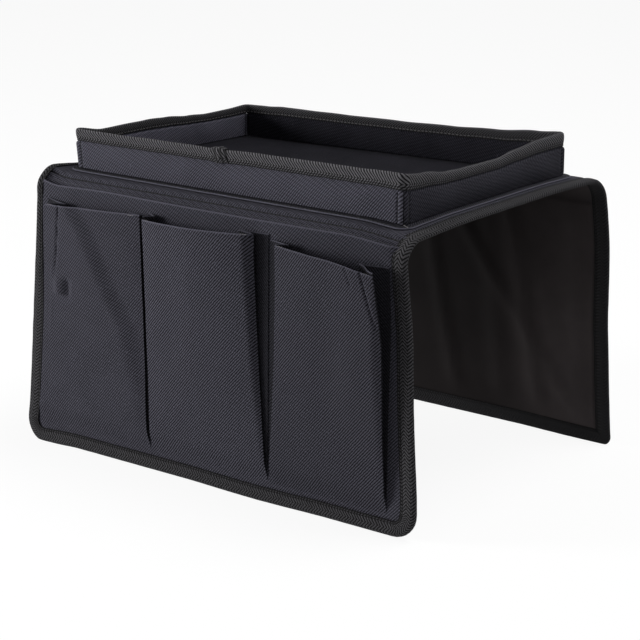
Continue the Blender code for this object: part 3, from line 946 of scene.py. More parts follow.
def saddle_layer(saddle, side, name, out_at, thickness, kind, inward_at):
    """One cloth from the middle of the top over a fold to a hem."""
    web = saddle.cloth.tape + saddle.cloth.gap
    columns = saddle_columns(saddle)
    rows = []
    for run in saddle.runs(0.0, saddle.hem - web):
        half, inward = saddle.half_width(side, run, web), inward_at(run)
        row = []
        for x in (share * half for share in columns):
            row.append((saddle.curved(side, x, run, out_at(x, run)), (x, run, inward)))
        rows.append(row)
    piece = sheet(name, rows, thickness, finish(kind))
    hung(piece, saddle, side)
    return piece


class ORGANIZER_OT_outer_cloth(bpy.types.Operator):
    """Lay the outer cloth over the top panel and both flaps"""

    bl_idname = "organizer.outer_cloth"
    bl_label = "Outer cloth"

    # The dip along each seam over the fold: its reach to either side, and how firm it is.
    SEAM_DIPS = ((0.0016, 1.0), (0.0014, 0.5))
    SEAM_DEPTH = 0.0009
    # The ridge before the first seam: how far before it, its reach to either side, and its height.
    RIDGE = (0.0026, 0.0024, 0.0010)

    def execute(self, context):
        saddle = Saddle()
        for side, label in SIDES.items():

            def out_at(x, run, side=side):
                soft = 0.00025 * wander(x, run, 0.05, 7.0 + side) * saddle.board_share(run)
                flat = saddle.layer_out(side, x, run, saddle.sewn, saddle.raised)
                return flat + abs(soft) + self.seam_crease(saddle, run)

            def inward_at(run):
                return mix(SEAM_MARK, -SEAM_MARK, self.drawn(saddle, run))

            name = f"{label}_outer_cloth"
            thickness = saddle.cloth.cloth
            piece = saddle_layer(saddle, side, name, out_at, thickness, "outer twill", inward_at)
            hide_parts(f"{label}_fold_cloth", f"{label}_flap_cloth", "top_cloth")
        return {"FINISHED"}

    def drawn(self, saddle, run):
        """How firmly the cloth is drawn in by the two seams over the fold."""
        dips = enumerate(self.SEAM_DIPS)
        return sum(firm * hump(run, saddle.seam_run(row), reach) for row, (reach, firm) in dips)

    def seam_crease(self, saddle, run):
        """How far the cloth stands out before the first seam and dips along both."""
        before, reach, height = self.RIDGE
        raised = hump(run, saddle.seam_run(0) - before, reach)
        return height * raised - self.SEAM_DEPTH * self.drawn(saddle, run)


class ORGANIZER_OT_linings(bpy.types.Operator):
    """Sew in the linings, which hang a little slack over the boards"""

    bl_idname = "organizer.linings"
    bl_label = "Linings"

    # Soft folds in a hanging lining: x as a share of its half length at the top and at the hem,
    # half the fold's width, and its height.
    FOLDS = (
        (0.08, 0.26, 0.009, 0.0030),
        (0.16, 0.97, 0.010, 0.0036),
        (0.42, 0.50, 0.013, 0.0020),
        (0.52, 0.72, 0.009, 0.0034),
        (0.50, 0.99, 0.0035, 0.0012),
        (0.86, 0.93, 0.012, 0.0034),
        (-0.35, -0.20, 0.014, 0.0014),
        (-0.70, -0.62, 0.012, 0.0012),
    )

    def execute(self, context):
        saddle = Saddle()
        for side, label in SIDES.items():

            def out_at(x, run, side=side):
                flat = saddle.layer_out(side, x, run, saddle.lining_sewn, saddle.lining_raised)
                return -flat - self.slack(saddle, side, x, run)

            def inward_at(run):
                return PLAIN_MARK

            name = f"{label}_lining"
            thickness = saddle.cloth.lining
            piece = saddle_layer(saddle, side, name, out_at, thickness, "satin lining", inward_at)
            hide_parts(f"{label}_fold_lining", f"{label}_flap_lining", "top_lining")
        return {"FINISHED"}

    def slack(self, saddle, side, x, run):
        """How far a hanging lining stands off its board."""
        inside = ease(saddle.edge(side, x, run), saddle.seam, saddle.seam + 0.018)
        hanging = ease(run, saddle.fold_end, saddle.fold_end + 0.02)
        share = ramp(run, saddle.fold_end, saddle.hem)
        soft = 0.0004 + 0.0004 * wander(x, run, 0.04, 11.0 + side)
        for top, foot, width, height in self.FOLDS:
            middle = mix(top, foot, share) * saddle.half_top
            middle += 0.004 * wander(x, run, 0.05, 17.0)
            soft += height * hump(x, middle, width) * (0.6 + 0.4 * wander(top, run, 0.05, 2.0))
        return soft * inside * hanging


# Edge tapes


class EdgeTape:
    """The tape round one half of the saddle, from the top's right end by the hem to its left end."""

    ARC_STEPS = 8
    SIDE_STEPS = 60
    HEM_STEPS = 50
    ARM_STEPS = 8
    TURN_STEPS = 8
    LINES = 12
    # The tightest turn of a line round a hem corner.
    LEAST_RADIUS = 0.0008
    # The outer arm's width at the left end's fold, where it is drawn over further to the back.
    DRAWN_SHARE = 0.60
    # From an arm's inner edge to its stitches.
    STITCH_INSET = 0.0017
    # How far the stitches are sunk into the tape.
    SUNK = 0.0001

    def __init__(self, saddle, side):
        self.saddle = saddle
        self.side = side
        self.cloth = cloth = saddle.cloth
        steps = (cloth.tape_width * share for share in shares(self.LINES))
        self.lines = [self.line(inset) for inset in steps]
        self.along = distances(self.lines[0])

    def right_half(self, inset):
        """(x, run) places from the top's middle down the right edge to the middle of the hem."""
        saddle = self.saddle
        places = [Vector((saddle.half_top - inset, run)) for run in saddle.runs(0.0, saddle.fold_end)]
        flare = math.atan2(saddle.sizes.hem_flare, saddle.hem - saddle.fold_end)
        hem = saddle.hem - inset
        start = Vector((saddle.half_top - inset / math.cos(flare), saddle.fold_end))
        corner = Vector((start.x + (hem - saddle.fold_end) * math.tan(flare), hem))
        middle = Vector((0.0, hem))
        radius = max(saddle.corner(self.side) - inset, self.LEAST_RADIUS)
        arc = rounded(start, corner, middle, radius, self.ARC_STEPS)
        places += [start.lerp(arc[0], share) for share in shares(self.SIDE_STEPS)[1:-1]]
        places += arc
        places += [arc[-1].lerp(middle, share) for share in shares(self.HEM_STEPS)[1:]]
        return places

    def line(self, inset):
        """(x, run) places all the way round, that far in from the edge."""
        right = self.right_half(inset)
        left = [Vector((-place.x, place.y)) for place in reversed(right[:-1])]
        return right + left

    def at(self, index, inset):
        """The place at one station of the tape, inset from the edge."""
        spot = inset / self.cloth.tape_width * self.LINES
        first = min(int(spot), self.LINES - 1)
        return self.lines[first][index].lerp(self.lines[first + 1][index], spot - first)

    def width(self, index, outer):
        """The arm's width at a station."""
        x, run = self.lines[0][index]
        width = self.cloth.tape_width * (1.0 + 0.03 * wander(self.along[index], 0.0, 0.03, 61.0))
        if outer and self.side == FRONT and x < 0:
            full = ease(run, self.saddle.fold_end + 0.005, self.saddle.fold_end + 0.09)
            width *= mix(self.DRAWN_SHARE, 1.0, full)
        return min(width, self.cloth.tape_width)

    def over(self, index):
        """How far out the middle of the outer arm lies from the saddle's middle layer."""
        saddle, cloth = self.saddle, self.cloth
        run = self.lines[0][index].y
        level = cloth.gap / 2 + cloth.cloth + cloth.gap + cloth.tape / 2
        if self.side == BACK:
            return level
        one_more = cloth.cloth + cloth.gap
        tucked = ease(run, saddle.fold_start + 0.011, saddle.fold_start + 0.018)
        foot = ease(run, saddle.hem - 0.030, saddle.hem - 0.014)
        bulge = hump(run, saddle.fold_end - 0.007, 0.012)
        return level + one_more * (tucked + foot) + 0.0010 * bulge

    def under(self):
        """How far in the middle of the inner arm lies."""
        cloth = self.cloth
        return cloth.gap / 2 + cloth.lining + cloth.gap + cloth.tape / 2

    def profile(self, index):
        """(inset, out, distance round the tape from its fold) from the outer arm to the inner."""
        over, under, half_tape = self.over(index), self.under(), self.cloth.tape / 2
        radius = (over + under) / 2
        turned = half_tape + radius
        outer = spread(self.width(index, True), turned, self.ARM_STEPS)
        inner = spread(turned, self.width(index, False), self.ARM_STEPS)
        points = [(inset, over) for inset in outer[:-1]]
        for share in shares(self.TURN_STEPS):
            turn = math.pi * share
            inset = turned - radius * math.sin(turn)
            points.append((inset, mix(over, -under, (1 - math.cos(turn)) / 2)))
        points += [(inset, -under) for inset in inner[1:]]
        run = distances([Vector(point) for point in points])
        fold = 0.5 * (run[self.ARM_STEPS] + run[self.ARM_STEPS + self.TURN_STEPS])
        return [(*point, there - fold) for point, there in zip(points, run)]

    def soften(self, inset, index, outer):
        """Small lifts and dents of an arm, pressed down at its stitches and at its inner edge."""
        width, along = self.width(index, outer), self.along[index]
        middle = hump(inset, width * 0.45, width * 0.45) * 0.00035
        stitch = hump(inset, width - self.STITCH_INSET, 0.0011) * 0.0006
        dent = stitch * (0.6 + 0.4 * math.cos(2 * math.pi * along / STITCH_PITCH))
        uneven = 0.0002 * wander(along, inset, 0.009, 5.0 if outer else 9.0)
        return middle - dent + uneven

    def rows(self):
        """Rows of (point, mark) across the tape."""
        rows = []
        for index, along in enumerate(self.along):
            row = []
            for inset, out, around in self.profile(index):
                outer = out > 0
                lift = self.soften(inset, index, outer)
                x, run = self.at(index, inset)
                point = self.saddle.curved(self.side, x, run, out + (lift if outer else -lift))
                row.append((point, (along, around, self.width(index, outer) - inset)))
            rows.append(row)
        return rows

    def stitch_line(self, outer):
        """The seam near the arm's inner edge, as (point, normal) on the tape's face."""
        found = []
        away = 1.0 if outer else -1.0
        for index in range(len(self.along)):
            inset = self.width(index, outer) - self.STITCH_INSET
            level = self.over(index) if outer else -self.under()
            lift = self.soften(inset, index, outer)
            face = level + away * (self.cloth.tape / 2 - self.SUNK + lift)
            place_at = partial(self.saddle.curved, self.side, *self.at(index, inset))
            found.append(with_normal(place_at, face, away))
        return found


class ORGANIZER_OT_edge_tapes(bpy.types.Operator):
    """Fold the herringbone tape over the saddle's edges"""

    bl_idname = "organizer.edge_tapes"
    bl_label = "Edge tapes"

    def execute(self, context):
        saddle = Saddle()
        for side, label in SIDES.items():
            rows = EdgeTape(saddle, side).rows()
            name = f"{label}_edge_tape"
            piece = sheet(name, rows, saddle.cloth.tape, finish("herringbone tape"))
            hung(piece, saddle, side)
            ends = [f"{label}_fold_binding_{hand}" for hand in HANDS]
            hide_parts(f"{label}_flap_binding", *ends)
            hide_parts("top_binding_left", "top_binding_right")
        return {"FINISHED"}


# Wide pocket


# How much nearer its edge the wide pocket's seam starts at the left, and the run past the fold in
# which that fades.
WIDE_LEFT = (0.0042, 0.05)


def wide_out(saddle, x, run):
    """How far the middle of the wide pocket's cloth bows out from the flap's middle layer."""
    mouth = saddle.drop_run(saddle.pockets.wide_drop)
    open_share = 1.0 - ramp(run, mouth, saddle.hem - saddle.flat_edge)
    half = saddle.half_length(run) - saddle.flat_edge
    bow = math.cos(math.pi / 2 * min(abs(x) / half, 1.0))
    level = saddle.face + saddle.cloth.gap + saddle.cloth.cloth / 2
    return level + saddle.pockets.wide_mouth * open_share * bow


def wide_place(saddle, x, run, lift=0.0):
    """A place on the wide pocket: sewn down at its sides and foot, and free at its mouth."""
    sewn = saddle.cloth.gap / 2 + saddle.cloth.cloth + saddle.cloth.gap + saddle.cloth.cloth / 2
    held = saddle.curved(FRONT, x, run, sewn + lift)
    free = saddle.straight(FRONT, x, run, wide_out(saddle, x, run) + lift)
    seam = saddle.seam
    if x < 0:
        nearer, fade = WIDE_LEFT
        seam -= nearer * (1.0 - ease(run, saddle.fold_end, saddle.fold_end + fade))
    return held.lerp(free, ease(saddle.edge(FRONT, x, run), seam - 0.0040, seam + 0.0012))


class ORGANIZER_OT_wide_pocket(bpy.types.Operator):
    """Hang the wide pocket's panel over the front flap, its hem turned in at the mouth"""

    bl_idname = "organizer.wide_pocket"
    bl_label = "Wide pocket"

    # How much lower the hem hangs at its left end.
    LEFT_DROP = 0.0024
    # How far the cloth reaches in under the tape.
    TUCK = 0.0045
    COLUMNS = 90
    # Steps down the panel to its corners, and round them.
    ROWS = 34
    CORNER_ROWS = 8
    # Where the rows below the hem start, end and give way to straight ones.
    HEM_ROWS = (0.0035, 0.012, 0.016)

    def hem_run(self, saddle, x):
        """Where the hem lies."""
        drop = self.LEFT_DROP * ease(-x, saddle.half_top * 0.5, saddle.half_top)
        return saddle.drop_run(saddle.pockets.wide_drop + drop)

    def execute(self, context):
        saddle = Saddle()
        tuck = saddle.cloth.tape_width - self.TUCK
        turning, cloth = saddle.pockets.turning, saddle.cloth.cloth
        foot = saddle.hem - tuck
        corner = saddle.corner(FRONT)
        start, end, straight = self.HEM_ROWS
        # The hem's rows: how far below its edge, and on which layer of cloth.
        hem = [(turning, -1.25), (turning * 0.5, -1.2), (0.0012, -1.2)]
        hem += [(0.0003, -1.0), (0.0, -0.55), (0.0004, -0.1), (0.0012, 0.0)]
        hem += [(below, 0.0) for below in spread(start, end, 3)]
        columns = spread(-1.0, 1.0, self.COLUMNS)
        half = saddle.half_length(saddle.fold_end) - tuck
        rows = []
        for below, layer in hem:
            inward = turning if layer < TURNED else below
            row = []
            for x in (share * half for share in columns):
                run = self.hem_run(saddle, x) + below
                row.append((wide_place(saddle, x, run, layer * cloth), (x, run, inward)))
            rows.append(row)
        first = max(self.hem_run(saddle, -saddle.half_top), self.hem_run(saddle, 0.0)) + straight
        runs = spread(first, foot - corner, self.ROWS)
        runs += spread(foot - corner, foot, self.CORNER_ROWS)[1:]
        for run in runs:
            half = saddle.half_width(FRONT, run, tuck)
            row = [share * half for share in columns]
            rows.append([(wide_place(saddle, x, run), (x, run, PLAIN_MARK)) for x in row])
        piece = sheet("wide_pocket_cloth", rows, cloth, finish("outer twill"), "front_flap")
        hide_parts("wide_pocket_panel")
        cut = (2 * saddle.half_hem, foot - self.hem_run(saddle, 0.0) + turning)
        return {"FINISHED"}


# Pleated pockets


class Pocket:
    """One pleated pocket. A pair of values is for its left and its right side."""

    # How far below the top face the hem starts, as a share of the pockets' drop.
    DROPS = ((1.17, 0.97), (1.07, 0.90), (1.10, 1.35))
    # Where the sides are sewn down, as a share of half the saddle's hem.
    SEAMS = ((-0.95, -0.294), (-0.294, 0.315), (0.315, 0.876))
    # How far in from its seam a top corner stands, as a share of the pockets' pleat.
    CORNERS = ((0.84, 0.24), (0.16, 0.78), (0.94, -0.09))
    # How far out a top corner stands, and the hem's middle beyond both, as shares of the mouth.
    MOUTHS = ((0.70, 0.67), (0.71, 0.62), (0.71, 0.95))
    BOWS = (0.14, 0.30, 0.10)
    # How deep the pleat is at the hem, as a share of the pockets' pleat.
    PLEATS = ((0.90, 0.90), (0.46, 1.00), (0.45, 1.50))
    # How long a side keeps its place before it runs out to its seam.
    HOLDS = ((1.8, 6.0), (2.0, 1.6), (1.6, 1.0))
    # The pockets' cloths: the second's and third's ribs stand out more, and the third is darker as
    # painted shade.
    CLOTHS = ("outer twill", "crisp twill", "dark twill")
    PLEAT_CLOTH = 0.0005
    # From which share of its height on the front's foot is drawn in under the tape.
    TUCK_START = 0.90

    def __init__(self, saddle, number):
        self.saddle = saddle
        self.number = number
        self.sizes = saddle.pockets
        self.bottom = saddle.hem - saddle.flat_edge

    def run(self, across, share):
        """The run of a place, by its shares of the width and of the height."""
        drop = self.sizes.drop * mix(*self.DROPS[self.number], across)
        return mix(self.saddle.drop_run(drop), self.bottom, share)

    def seam(self, hand, run):
        """Where the left or the right side is sewn down."""
        saddle = self.saddle
        limit = saddle.half_length(run) - saddle.flat_edge
        start, center = saddle.corner_center(FRONT)
        if run > start:
            radius = saddle.corner(FRONT) - saddle.seam
            limit = center + math.sqrt(max(radius**2 - (run - start) ** 2, 0.0)) - saddle.FLAT_STEP
        gap = 0.5 * INWARD[hand] * self.sizes.pocket_gap
        x = self.SEAMS[self.number][hand] * saddle.half_hem + gap
        return min(max(x, -limit), limit)

    def side(self, hand, share):
        """Where the front's left or right side lies."""
        inward = INWARD[hand] * self.CORNERS[self.number][hand] * self.sizes.pleat
        held = 1.0 - max(share, 0.0) ** self.HOLDS[self.number][hand]
        return self.seam(hand, self.run(hand, share)) + inward * held

    def seat(self):
        """How far out the front's inner face lies at its foot, over both layers of the pleats."""
        cloth = self.saddle.cloth
        return self.saddle.face + 4 * cloth.gap + cloth.cloth + 2 * self.PLEAT_CLOTH

    def out(self, across, share):
        """How far out the front's inner face lies."""
        bow = self.BOWS[self.number] * 4 * across * (1.0 - across)
        mouth = mix(*self.MOUTHS[self.number], across) + bow
        return mix(self.saddle.face + self.sizes.mouth * mouth, self.seat(), share)

    def place(self, across, share, lift):
        """A place on the front's middle layer, past its foot too, where it goes under the tape."""
        saddle, cloth = self.saddle, self.saddle.cloth
        held = min(share, 1.0)
        run = self.run(across, held) + max(share - 1.0, 0.0)
        x = mix(self.side(0, held), self.side(1, held), across)
        out = self.tucked(self.out(across, held) + cloth.cloth / 2 + lift, share)
        return saddle.straight(FRONT, x, run, out), (x, run)

    def tucked(self, out, share):
        """How far out the front lies once its foot is drawn in under the tape."""
        cloth = self.saddle.cloth
        tuck = cloth.gap / 2 + 2.5 * cloth.cloth + 2 * cloth.gap
        return mix(out, min(out, tuck), ease(share, self.TUCK_START, 1.0))


class PocketFront:
    """The soft shape of one pocket's front: its rolled sides, creases and dents."""

    # Each pocket's creases: start and end as (across, down) shares, half width, and depth.
    CREASES = (
        (
            ((0.167, -0.02), (0.113, 0.300), 0.0014, 0.0011),
            ((0.165, 0.335), (0.175, 0.385), 0.0080, -0.0022),
            ((0.262, 0.325), (0.262, 0.395), 0.0045, 0.0014),
            ((0.085, 0.26), (0.085, 0.62), 0.0012, -0.0005),
        ),
        (((0.30, 0.05), (0.22, 0.60), 0.020, 0.0006),),
        (
            ((0.870, -0.02), (0.985, 0.235), 0.0015, 0.0012),
            ((0.725, 0.0), (0.78, 0.075), 0.0014, 0.0008),
            ((0.55, 0.10), (0.50, 0.75), 0.022, 0.0008),
        ),
    )
    # Each pocket's shoulder, where its right side turns back: the line's (down, across) places,
    # how far the side falls away beyond it, and over what width.
    SHOULDERS = (
        (
            ((0.0, 0.20), (0.08, 0.34), (0.22, 0.49), (0.33, 0.60), (0.49, 0.78), (1.0, 0.98)),
            0.0034,
            0.016,
        ),
        (((0.0, 0.945), (0.5, 0.955), (1.0, 0.98)), 0.0048, 0.0075),
        (((0.0, 1.00), (0.3, 0.93), (1.0, 0.99)), 0.0030, 0.008),
    )

    def __init__(self, pocket):
        self.pocket = pocket
        width = pocket.side(1, 0.5) - pocket.side(0, 0.5)
        height = pocket.bottom - pocket.run(0.5, 0.0)
        self.size = Vector((width, height))

    def lift(self, across, down):
        """How far the front stands out from its plain shape."""
        size = self.size
        here = Vector((across * size.x, down * size.y))
        held = ease(down, 1.0, 0.86)
        total = 0.0003 * wander(here.x, here.y, 0.03, 21.0 + self.pocket.number)
        for start, end, width, depth in self.CREASES[self.pocket.number]:
            a, b = (Vector((p[0] * size.x, p[1] * size.y)) for p in (start, end))
            line = b - a
            share = min(max((here - a).dot(line) / line.length_squared, 0.0), 1.0)
            away = (here - a - line * share).length
            total -= depth * hump(away, 0.0, width) * ease(share, 1.0, 0.8)
        line, fall, width = self.SHOULDERS[self.pocket.number]
        edge = line[-1][1]
        for start, end in zip(line, line[1:]):
            if start[0] <= down <= end[0]:
                edge = mix(start[1], end[1], ramp(down, start[0], end[0]))
        beyond = ease((across - edge) * size.x, -0.001, width)
        total -= fall * beyond * (1.0 - down**3)
        return total * held


class ORGANIZER_OT_pocket_fronts(bpy.types.Operator):
    """Hang the three pocket fronts, with turned hems, soft sides and creases"""

    bl_idname = "organizer.pocket_fronts"
    bl_label = "Pocket fronts"

    ROWS = 110
    COLUMNS = 76
    # The first row below the hem, and the rows past the foot, in under the tape.
    FIRST = 0.003
    PAST_FOOT = (0.0008, 0.0016, 0.0024, 0.0034)

    def execute(self, context):
        saddle = Saddle()
        for number in range(len(Pocket.SEAMS)):
            self.front(saddle, Pocket(saddle, number))
        return {"FINISHED"}

    def front(self, saddle, pocket):
        soft = PocketFront(pocket)
        turning, cloth = saddle.pockets.turning, saddle.cloth.cloth
        height = soft.size.y
        # The rows: how far below the hem's edge, and on which layer of cloth.
        hem = [(turning, -1.2), (turning * 0.5, -1.15), (0.0014, -1.1), (0.0003, -0.95)]
        hem += [(0.0, -0.5), (0.0004, -0.1), (0.0014, 0.0)]
        downs = [(below / height, layer) for below, layer in hem]
        downs += [(down, 0.0) for down in spread(self.FIRST / height, 1.0, self.ROWS)]
        downs += [(1.0 + past, 0.0) for past in self.PAST_FOOT]
        rows = []
        for down, layer in downs:
            inward = turning if layer < TURNED else down * height
            row = []
            for across in shares(self.COLUMNS):
                lift = soft.lift(across, min(down, 1.0)) + layer * cloth
                point, (x, run) = pocket.place(across, down, lift)
                row.append((point, (x, run, inward)))
            rows.append(row)
        label = f"pocket_{pocket.number + 1}"
        kind = pocket.CLOTHS[pocket.number]
        piece = sheet(f"{label}_cloth", rows, cloth, finish(kind), label)
        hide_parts(f"{label}_front")
        cut = (soft.size.x, height + turning)


class ORGANIZER_OT_pleats(bpy.types.Operator):
    """Fold the pleats at both sides of each pocket"""

    bl_idname = "organizer.pleats"
    bl_label = "Pleats"

    ROWS = 46
    LAYER_STEPS = 9
    TURN_STEPS = 6
    # How far down a pleat reaches, and how deep it is there, as shares of the pocket's height and
    # of its depth at the hem.
    FOOT_SHARE = 0.93
    REST_SHARE = 0.45
    # Where the fold lies between the flap and the front.
    FOLD_SHARE = 0.45
    # The least width that a pleat is cut to.
    LEAST_WIDTH = 0.011
    # How far each pleat peeks over its pocket's hem, left and right, as a share of the height.
    PEEKS = ((0.004, 0.0), (0.016, 0.006), (0.004, 0.014))
    # The stretch of the pleat that opens: from and to, out from the flap, and how much further
    # out both lie at the mouth.
    OPENS = (0.0022, 0.0060, 0.0060)

    def execute(self, context):
        saddle = Saddle()
        for number in range(len(Pocket.SEAMS)):
            for hand, label in enumerate(HANDS):
                self.pleat(saddle, Pocket(saddle, number), hand, label)
        return {"FINISHED"}

    def path(self, saddle, soft, hand, share):
        """(x, out) places from the seam behind the front to the pleat's fold and out to its edge."""
        pocket = soft.pocket

        def behind(x):
            """How far out the pleat may lie behind the front."""
            across = ramp(x, pocket.side(0, share), pocket.side(1, share))
            half = saddle.cloth.cloth / 2
            front = pocket.out(across, share) + half + soft.lift(across, share)
            return pocket.tucked(front, share) - half - saddle.cloth.gap - pocket.PLEAT_CLOTH / 2

        inward = INWARD[hand]
        run = pocket.run(hand, share)
        seam = pocket.seam(hand, run)
        seam_out = wide_out(saddle, seam, run) + saddle.cloth.cloth / 2
        seam_out += saddle.cloth.gap + pocket.PLEAT_CLOTH / 2
        edge = pocket.side(hand, share)
        edge_out = behind(edge)
        depth = pocket.PLEATS[pocket.number][hand] * saddle.pockets.pleat
        depth *= mix(1.0, self.REST_SHARE, share)
        fold = edge + inward * depth
        turn = min((saddle.cloth.gap + pocket.PLEAT_CLOTH) / 2, (edge_out - seam_out) / 2)
        fold_out = mix(seam_out + turn, edge_out - turn, self.FOLD_SHARE)
        places = []
        for share_in in shares(self.LAYER_STEPS):
            out = mix(seam_out, fold_out - turn, ease(share_in, 0, 1))
            places.append(Vector((mix(seam, fold, share_in), out)))
        center = Vector((fold, fold_out))
        for share_round in shares(self.TURN_STEPS)[1:-1]:
            angle = math.pi * share_round
            places.append(center + Vector((inward * turn * math.sin(angle), -turn * math.cos(angle))))
        for share_out in shares(self.LAYER_STEPS):
            x = mix(fold, edge, share_out)
            out = mix(fold_out + turn, edge_out, ease(share_out, 0, 1))
            places.append(Vector((x, min(out, behind(x)))))
        return places, run

    def pleat(self, saddle, pocket, hand, label):
        soft = PocketFront(pocket)
        peek = self.PEEKS[pocket.number][hand]
        rows = []
        for share in spread(-peek, self.FOOT_SHARE, self.ROWS):
            path, run = self.path(saddle, soft, hand, share)
            inward = run - pocket.run(hand, -peek)
            row = []
            for place, along in zip(path, distances(path)):
                point = saddle.straight(FRONT, place.x, run, place.y)
                row.append((point, (along, run, inward)))
            rows.append(row)
        name = f"pocket_{pocket.number + 1}"
        cloth = pocket.PLEAT_CLOTH
        # The pleats' twill carries painted shade for the gaps between the pockets.
        piece = sheet(f"{name}_pleat_{label}", rows, cloth, finish("pleat twill"))
        height = pocket.bottom - pocket.run(hand, 0.0)
        start, end = self.opening(saddle, pocket.bottom, height)
        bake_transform(piece)
        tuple(start)
        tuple(end)
        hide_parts(f"{name}_gusset_{label}")
        widths = [distances([point for point, _ in row])[-1] for row in rows]
        width = max(sum(widths) / len(widths), self.LEAST_WIDTH)

    def opening(self, saddle, bottom, height):
        """Where a pleat changes from the flap to its pocket, as start and end for a blend."""
        near, far, further = self.OPENS
        base = saddle.straight(FRONT, 0.0, bottom, 0.0)
        normal = saddle.straight(FRONT, 0.0, bottom, 1.0) - base
        down = -UP - normal * normal.dot(-UP)
        across = (normal + down.normalized() * further / height).normalized()
        scale = 1.0 / across.dot(normal)
        return base + across * near / scale, base + across * far / scale


# Tray


def tray_loop(tray, row_at, step):
    """Rows round all four walls, one at each station, made from (wall, t, distance round)."""
    rows, start = [], 0.0
    for wall in range(len(WALLS)):
        reach = tray.reach(wall)
        rows += [row_at(wall, t, start + t + reach) for t in tray.stations(wall, step)[:-1]]
        start += 2 * reach
    return rows


class ORGANIZER_OT_tray_walls(bpy.types.Operator):
    """Sew the tray's walls, outer and inner cloth, with a seam at each corner"""

    bl_idname = "organizer.tray_walls"
    bl_label = "Tray walls"

    # A wall's faces, by which way they look: the side, the layer and the cloth.
    FACES = {
        1: ("outer", "cloth", "outer twill"),
        -1: ("inner", "lining", "inner twill"),
    }
    # Twill copies by wall and face: painted light on the front's outer and the left's inner face,
    # painted shade on the right's outer face.
    SPECIAL = {
        ("front", 1): "wall twill",
        ("right", 1): "shaded twill",
        ("left", -1): "painted light inner twill",
    }
    STEP = 0.004
    ROWS = 14
    # Where a wall's cloth starts over the saddle, and where it is down in the rim's seam.
    FOOT = 0.0021
    SEAM_LEVELS = (-0.0022, -0.0012, -0.0004, 0.0004)
    # Half the space between two walls' cloths at a corner.
    CORNER_SPACE = 0.00015

    def execute(self, context):
        tray = Tray(Saddle())
        for wall, label in enumerate(WALLS):
            for face in self.FACES:
                self.cloth(tray, wall, label, face)
        return {"FINISHED"}

    def cloth(self, tray, wall, label, face):
        saddle = tray.saddle
        top = tray.sizes.height - saddle.cloth.tape - saddle.cloth.gap
        first, *others = (tray.seam + past for past in self.SEAM_LEVELS)
        levels = spread(self.FOOT, first, self.ROWS) + others
        levels += [mix(tray.seam, top, 0.5), top]
        rows = []
        for t in tray.stations(wall, self.STEP):
            t *= 1.0 - self.CORNER_SPACE / tray.reach(wall)
            groove = hump(tray.reach(wall) - abs(t), tray.CORNER_SEAM, 0.0009)
            inward = mix(SEAM_MARK, -SEAM_MARK, groove)
            row = []
            for up in levels:
                climb = 1.0 - ease(up, tray.seam - 0.0020, tray.seam + 0.0002)
                out = mix(saddle.sewn, saddle.raised, climb)
                swell = tray.swell(wall, t, up)
                swell = swell * climb if face > 0 else -0.6 * abs(swell) * climb
                row.append((tray.place(wall, t, face * out + swell, up), (t, -up, inward)))
            rows.append(row)
        side, layer, kind = self.FACES[face]
        kind = self.SPECIAL.get((label, face), kind)
        name = f"tray_{label}_wall"
        thickness = saddle.cloth.cloth
        piece = sheet(f"{name}_{side}", rows, thickness, finish(kind), "saddle_top")
        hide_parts(f"{name}_{layer}")
        cut = (2 * tray.reach(wall), top - self.FOOT)


class ORGANIZER_OT_tray_base(bpy.types.Operator):
    """Lay the tray's floor cloth and the seam strip round its foot"""

    bl_idname = "organizer.tray_base"
    bl_label = "Tray floor and seam strip"

    FLOOR_CLOTH = 0.0010
    FLOOR_ROWS = 44
    FLOOR_COLUMNS = 64
    STRIP_CLOTH = 0.0004
    STRIP_STEP = 0.004
    # How far in from the strip's edge each point of its section is marked to lie.
    STRIP_INWARD = (0.006, 0.004, 0.0020, 0.0005, 0.0002, 0.0005, 0.002, 0.006)

    def execute(self, context):
        tray = Tray(Saddle())
        self.floor(tray)
        self.strip(tray)
        return {"FINISHED"}

    def floor(self, tray):
        saddle = tray.saddle
        inset = saddle.face + saddle.cloth.gap
        half_x, half_y = (half - inset for half in tray.half)
        thickness = self.FLOOR_CLOTH
        rows = []
        for y in spread(-half_y, half_y, self.FLOOR_ROWS):
            side = BACK if y > 0 else FRONT
            row = []
            for x in spread(-half_x, half_x, self.FLOOR_COLUMNS):
                edge = min(half_x - abs(x), half_y - abs(y))
                soft = 0.0005 * ease(edge, 0.0, 0.02) * (0.5 + wander(x, y, 0.045, 31.0))
                up = saddle.cloth.gap + thickness / 2 + soft
                point = Vector((x, y, saddle.top_z + up)) + saddle.settled(side, x, abs(y))
                row.append((point, (x, -y, PLAIN_MARK)))
            rows.append(row)
        piece = sheet("tray_floor", rows, thickness, finish("floor twill"), "saddle_top")
        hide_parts("tray_floor_cloth")
        2 * half_x
        2 * half_y

    def strip(self, tray):
        saddle = tray.saddle
        reach = saddle.face + tray.sizes.strip_reach
        gap = saddle.cloth.gap

        def row_at(wall, t, along):
            """Across the strip: from the wall out over its top and back under its turned edge."""
            edge = reach + 0.00035 * wander(along, 0.0, 0.012, 41.0)
            lift = 0.0002 * wander(along, 1.0, 0.02, 43.0)
            top, bottom = gap + 0.0007 + lift, gap + 0.0002
            section = [(0.0012, top + 0.0004), (0.0026, top), (edge - 0.002, top - 0.0001)]
            section += [(edge - 0.0004, top), (edge - 0.0001, mix(top, bottom, 0.5))]
            section += [(edge - 0.0004, bottom), (edge - 0.003, bottom), (0.0012, bottom)]
            points = [tray.place(wall, t, out, up) for out, up in section]
            marks = [(along, out, inward) for (out, _), inward in zip(section, self.STRIP_INWARD)]
            return list(zip(points, marks))

        rows = tray_loop(tray, row_at, self.STRIP_STEP)
        cloth, twilled = self.STRIP_CLOTH, finish("strip twill")
        piece = sheet("tray_seam_strip", rows, cloth, twilled, "saddle_top", closed=True)
        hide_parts("tray_base_flange")


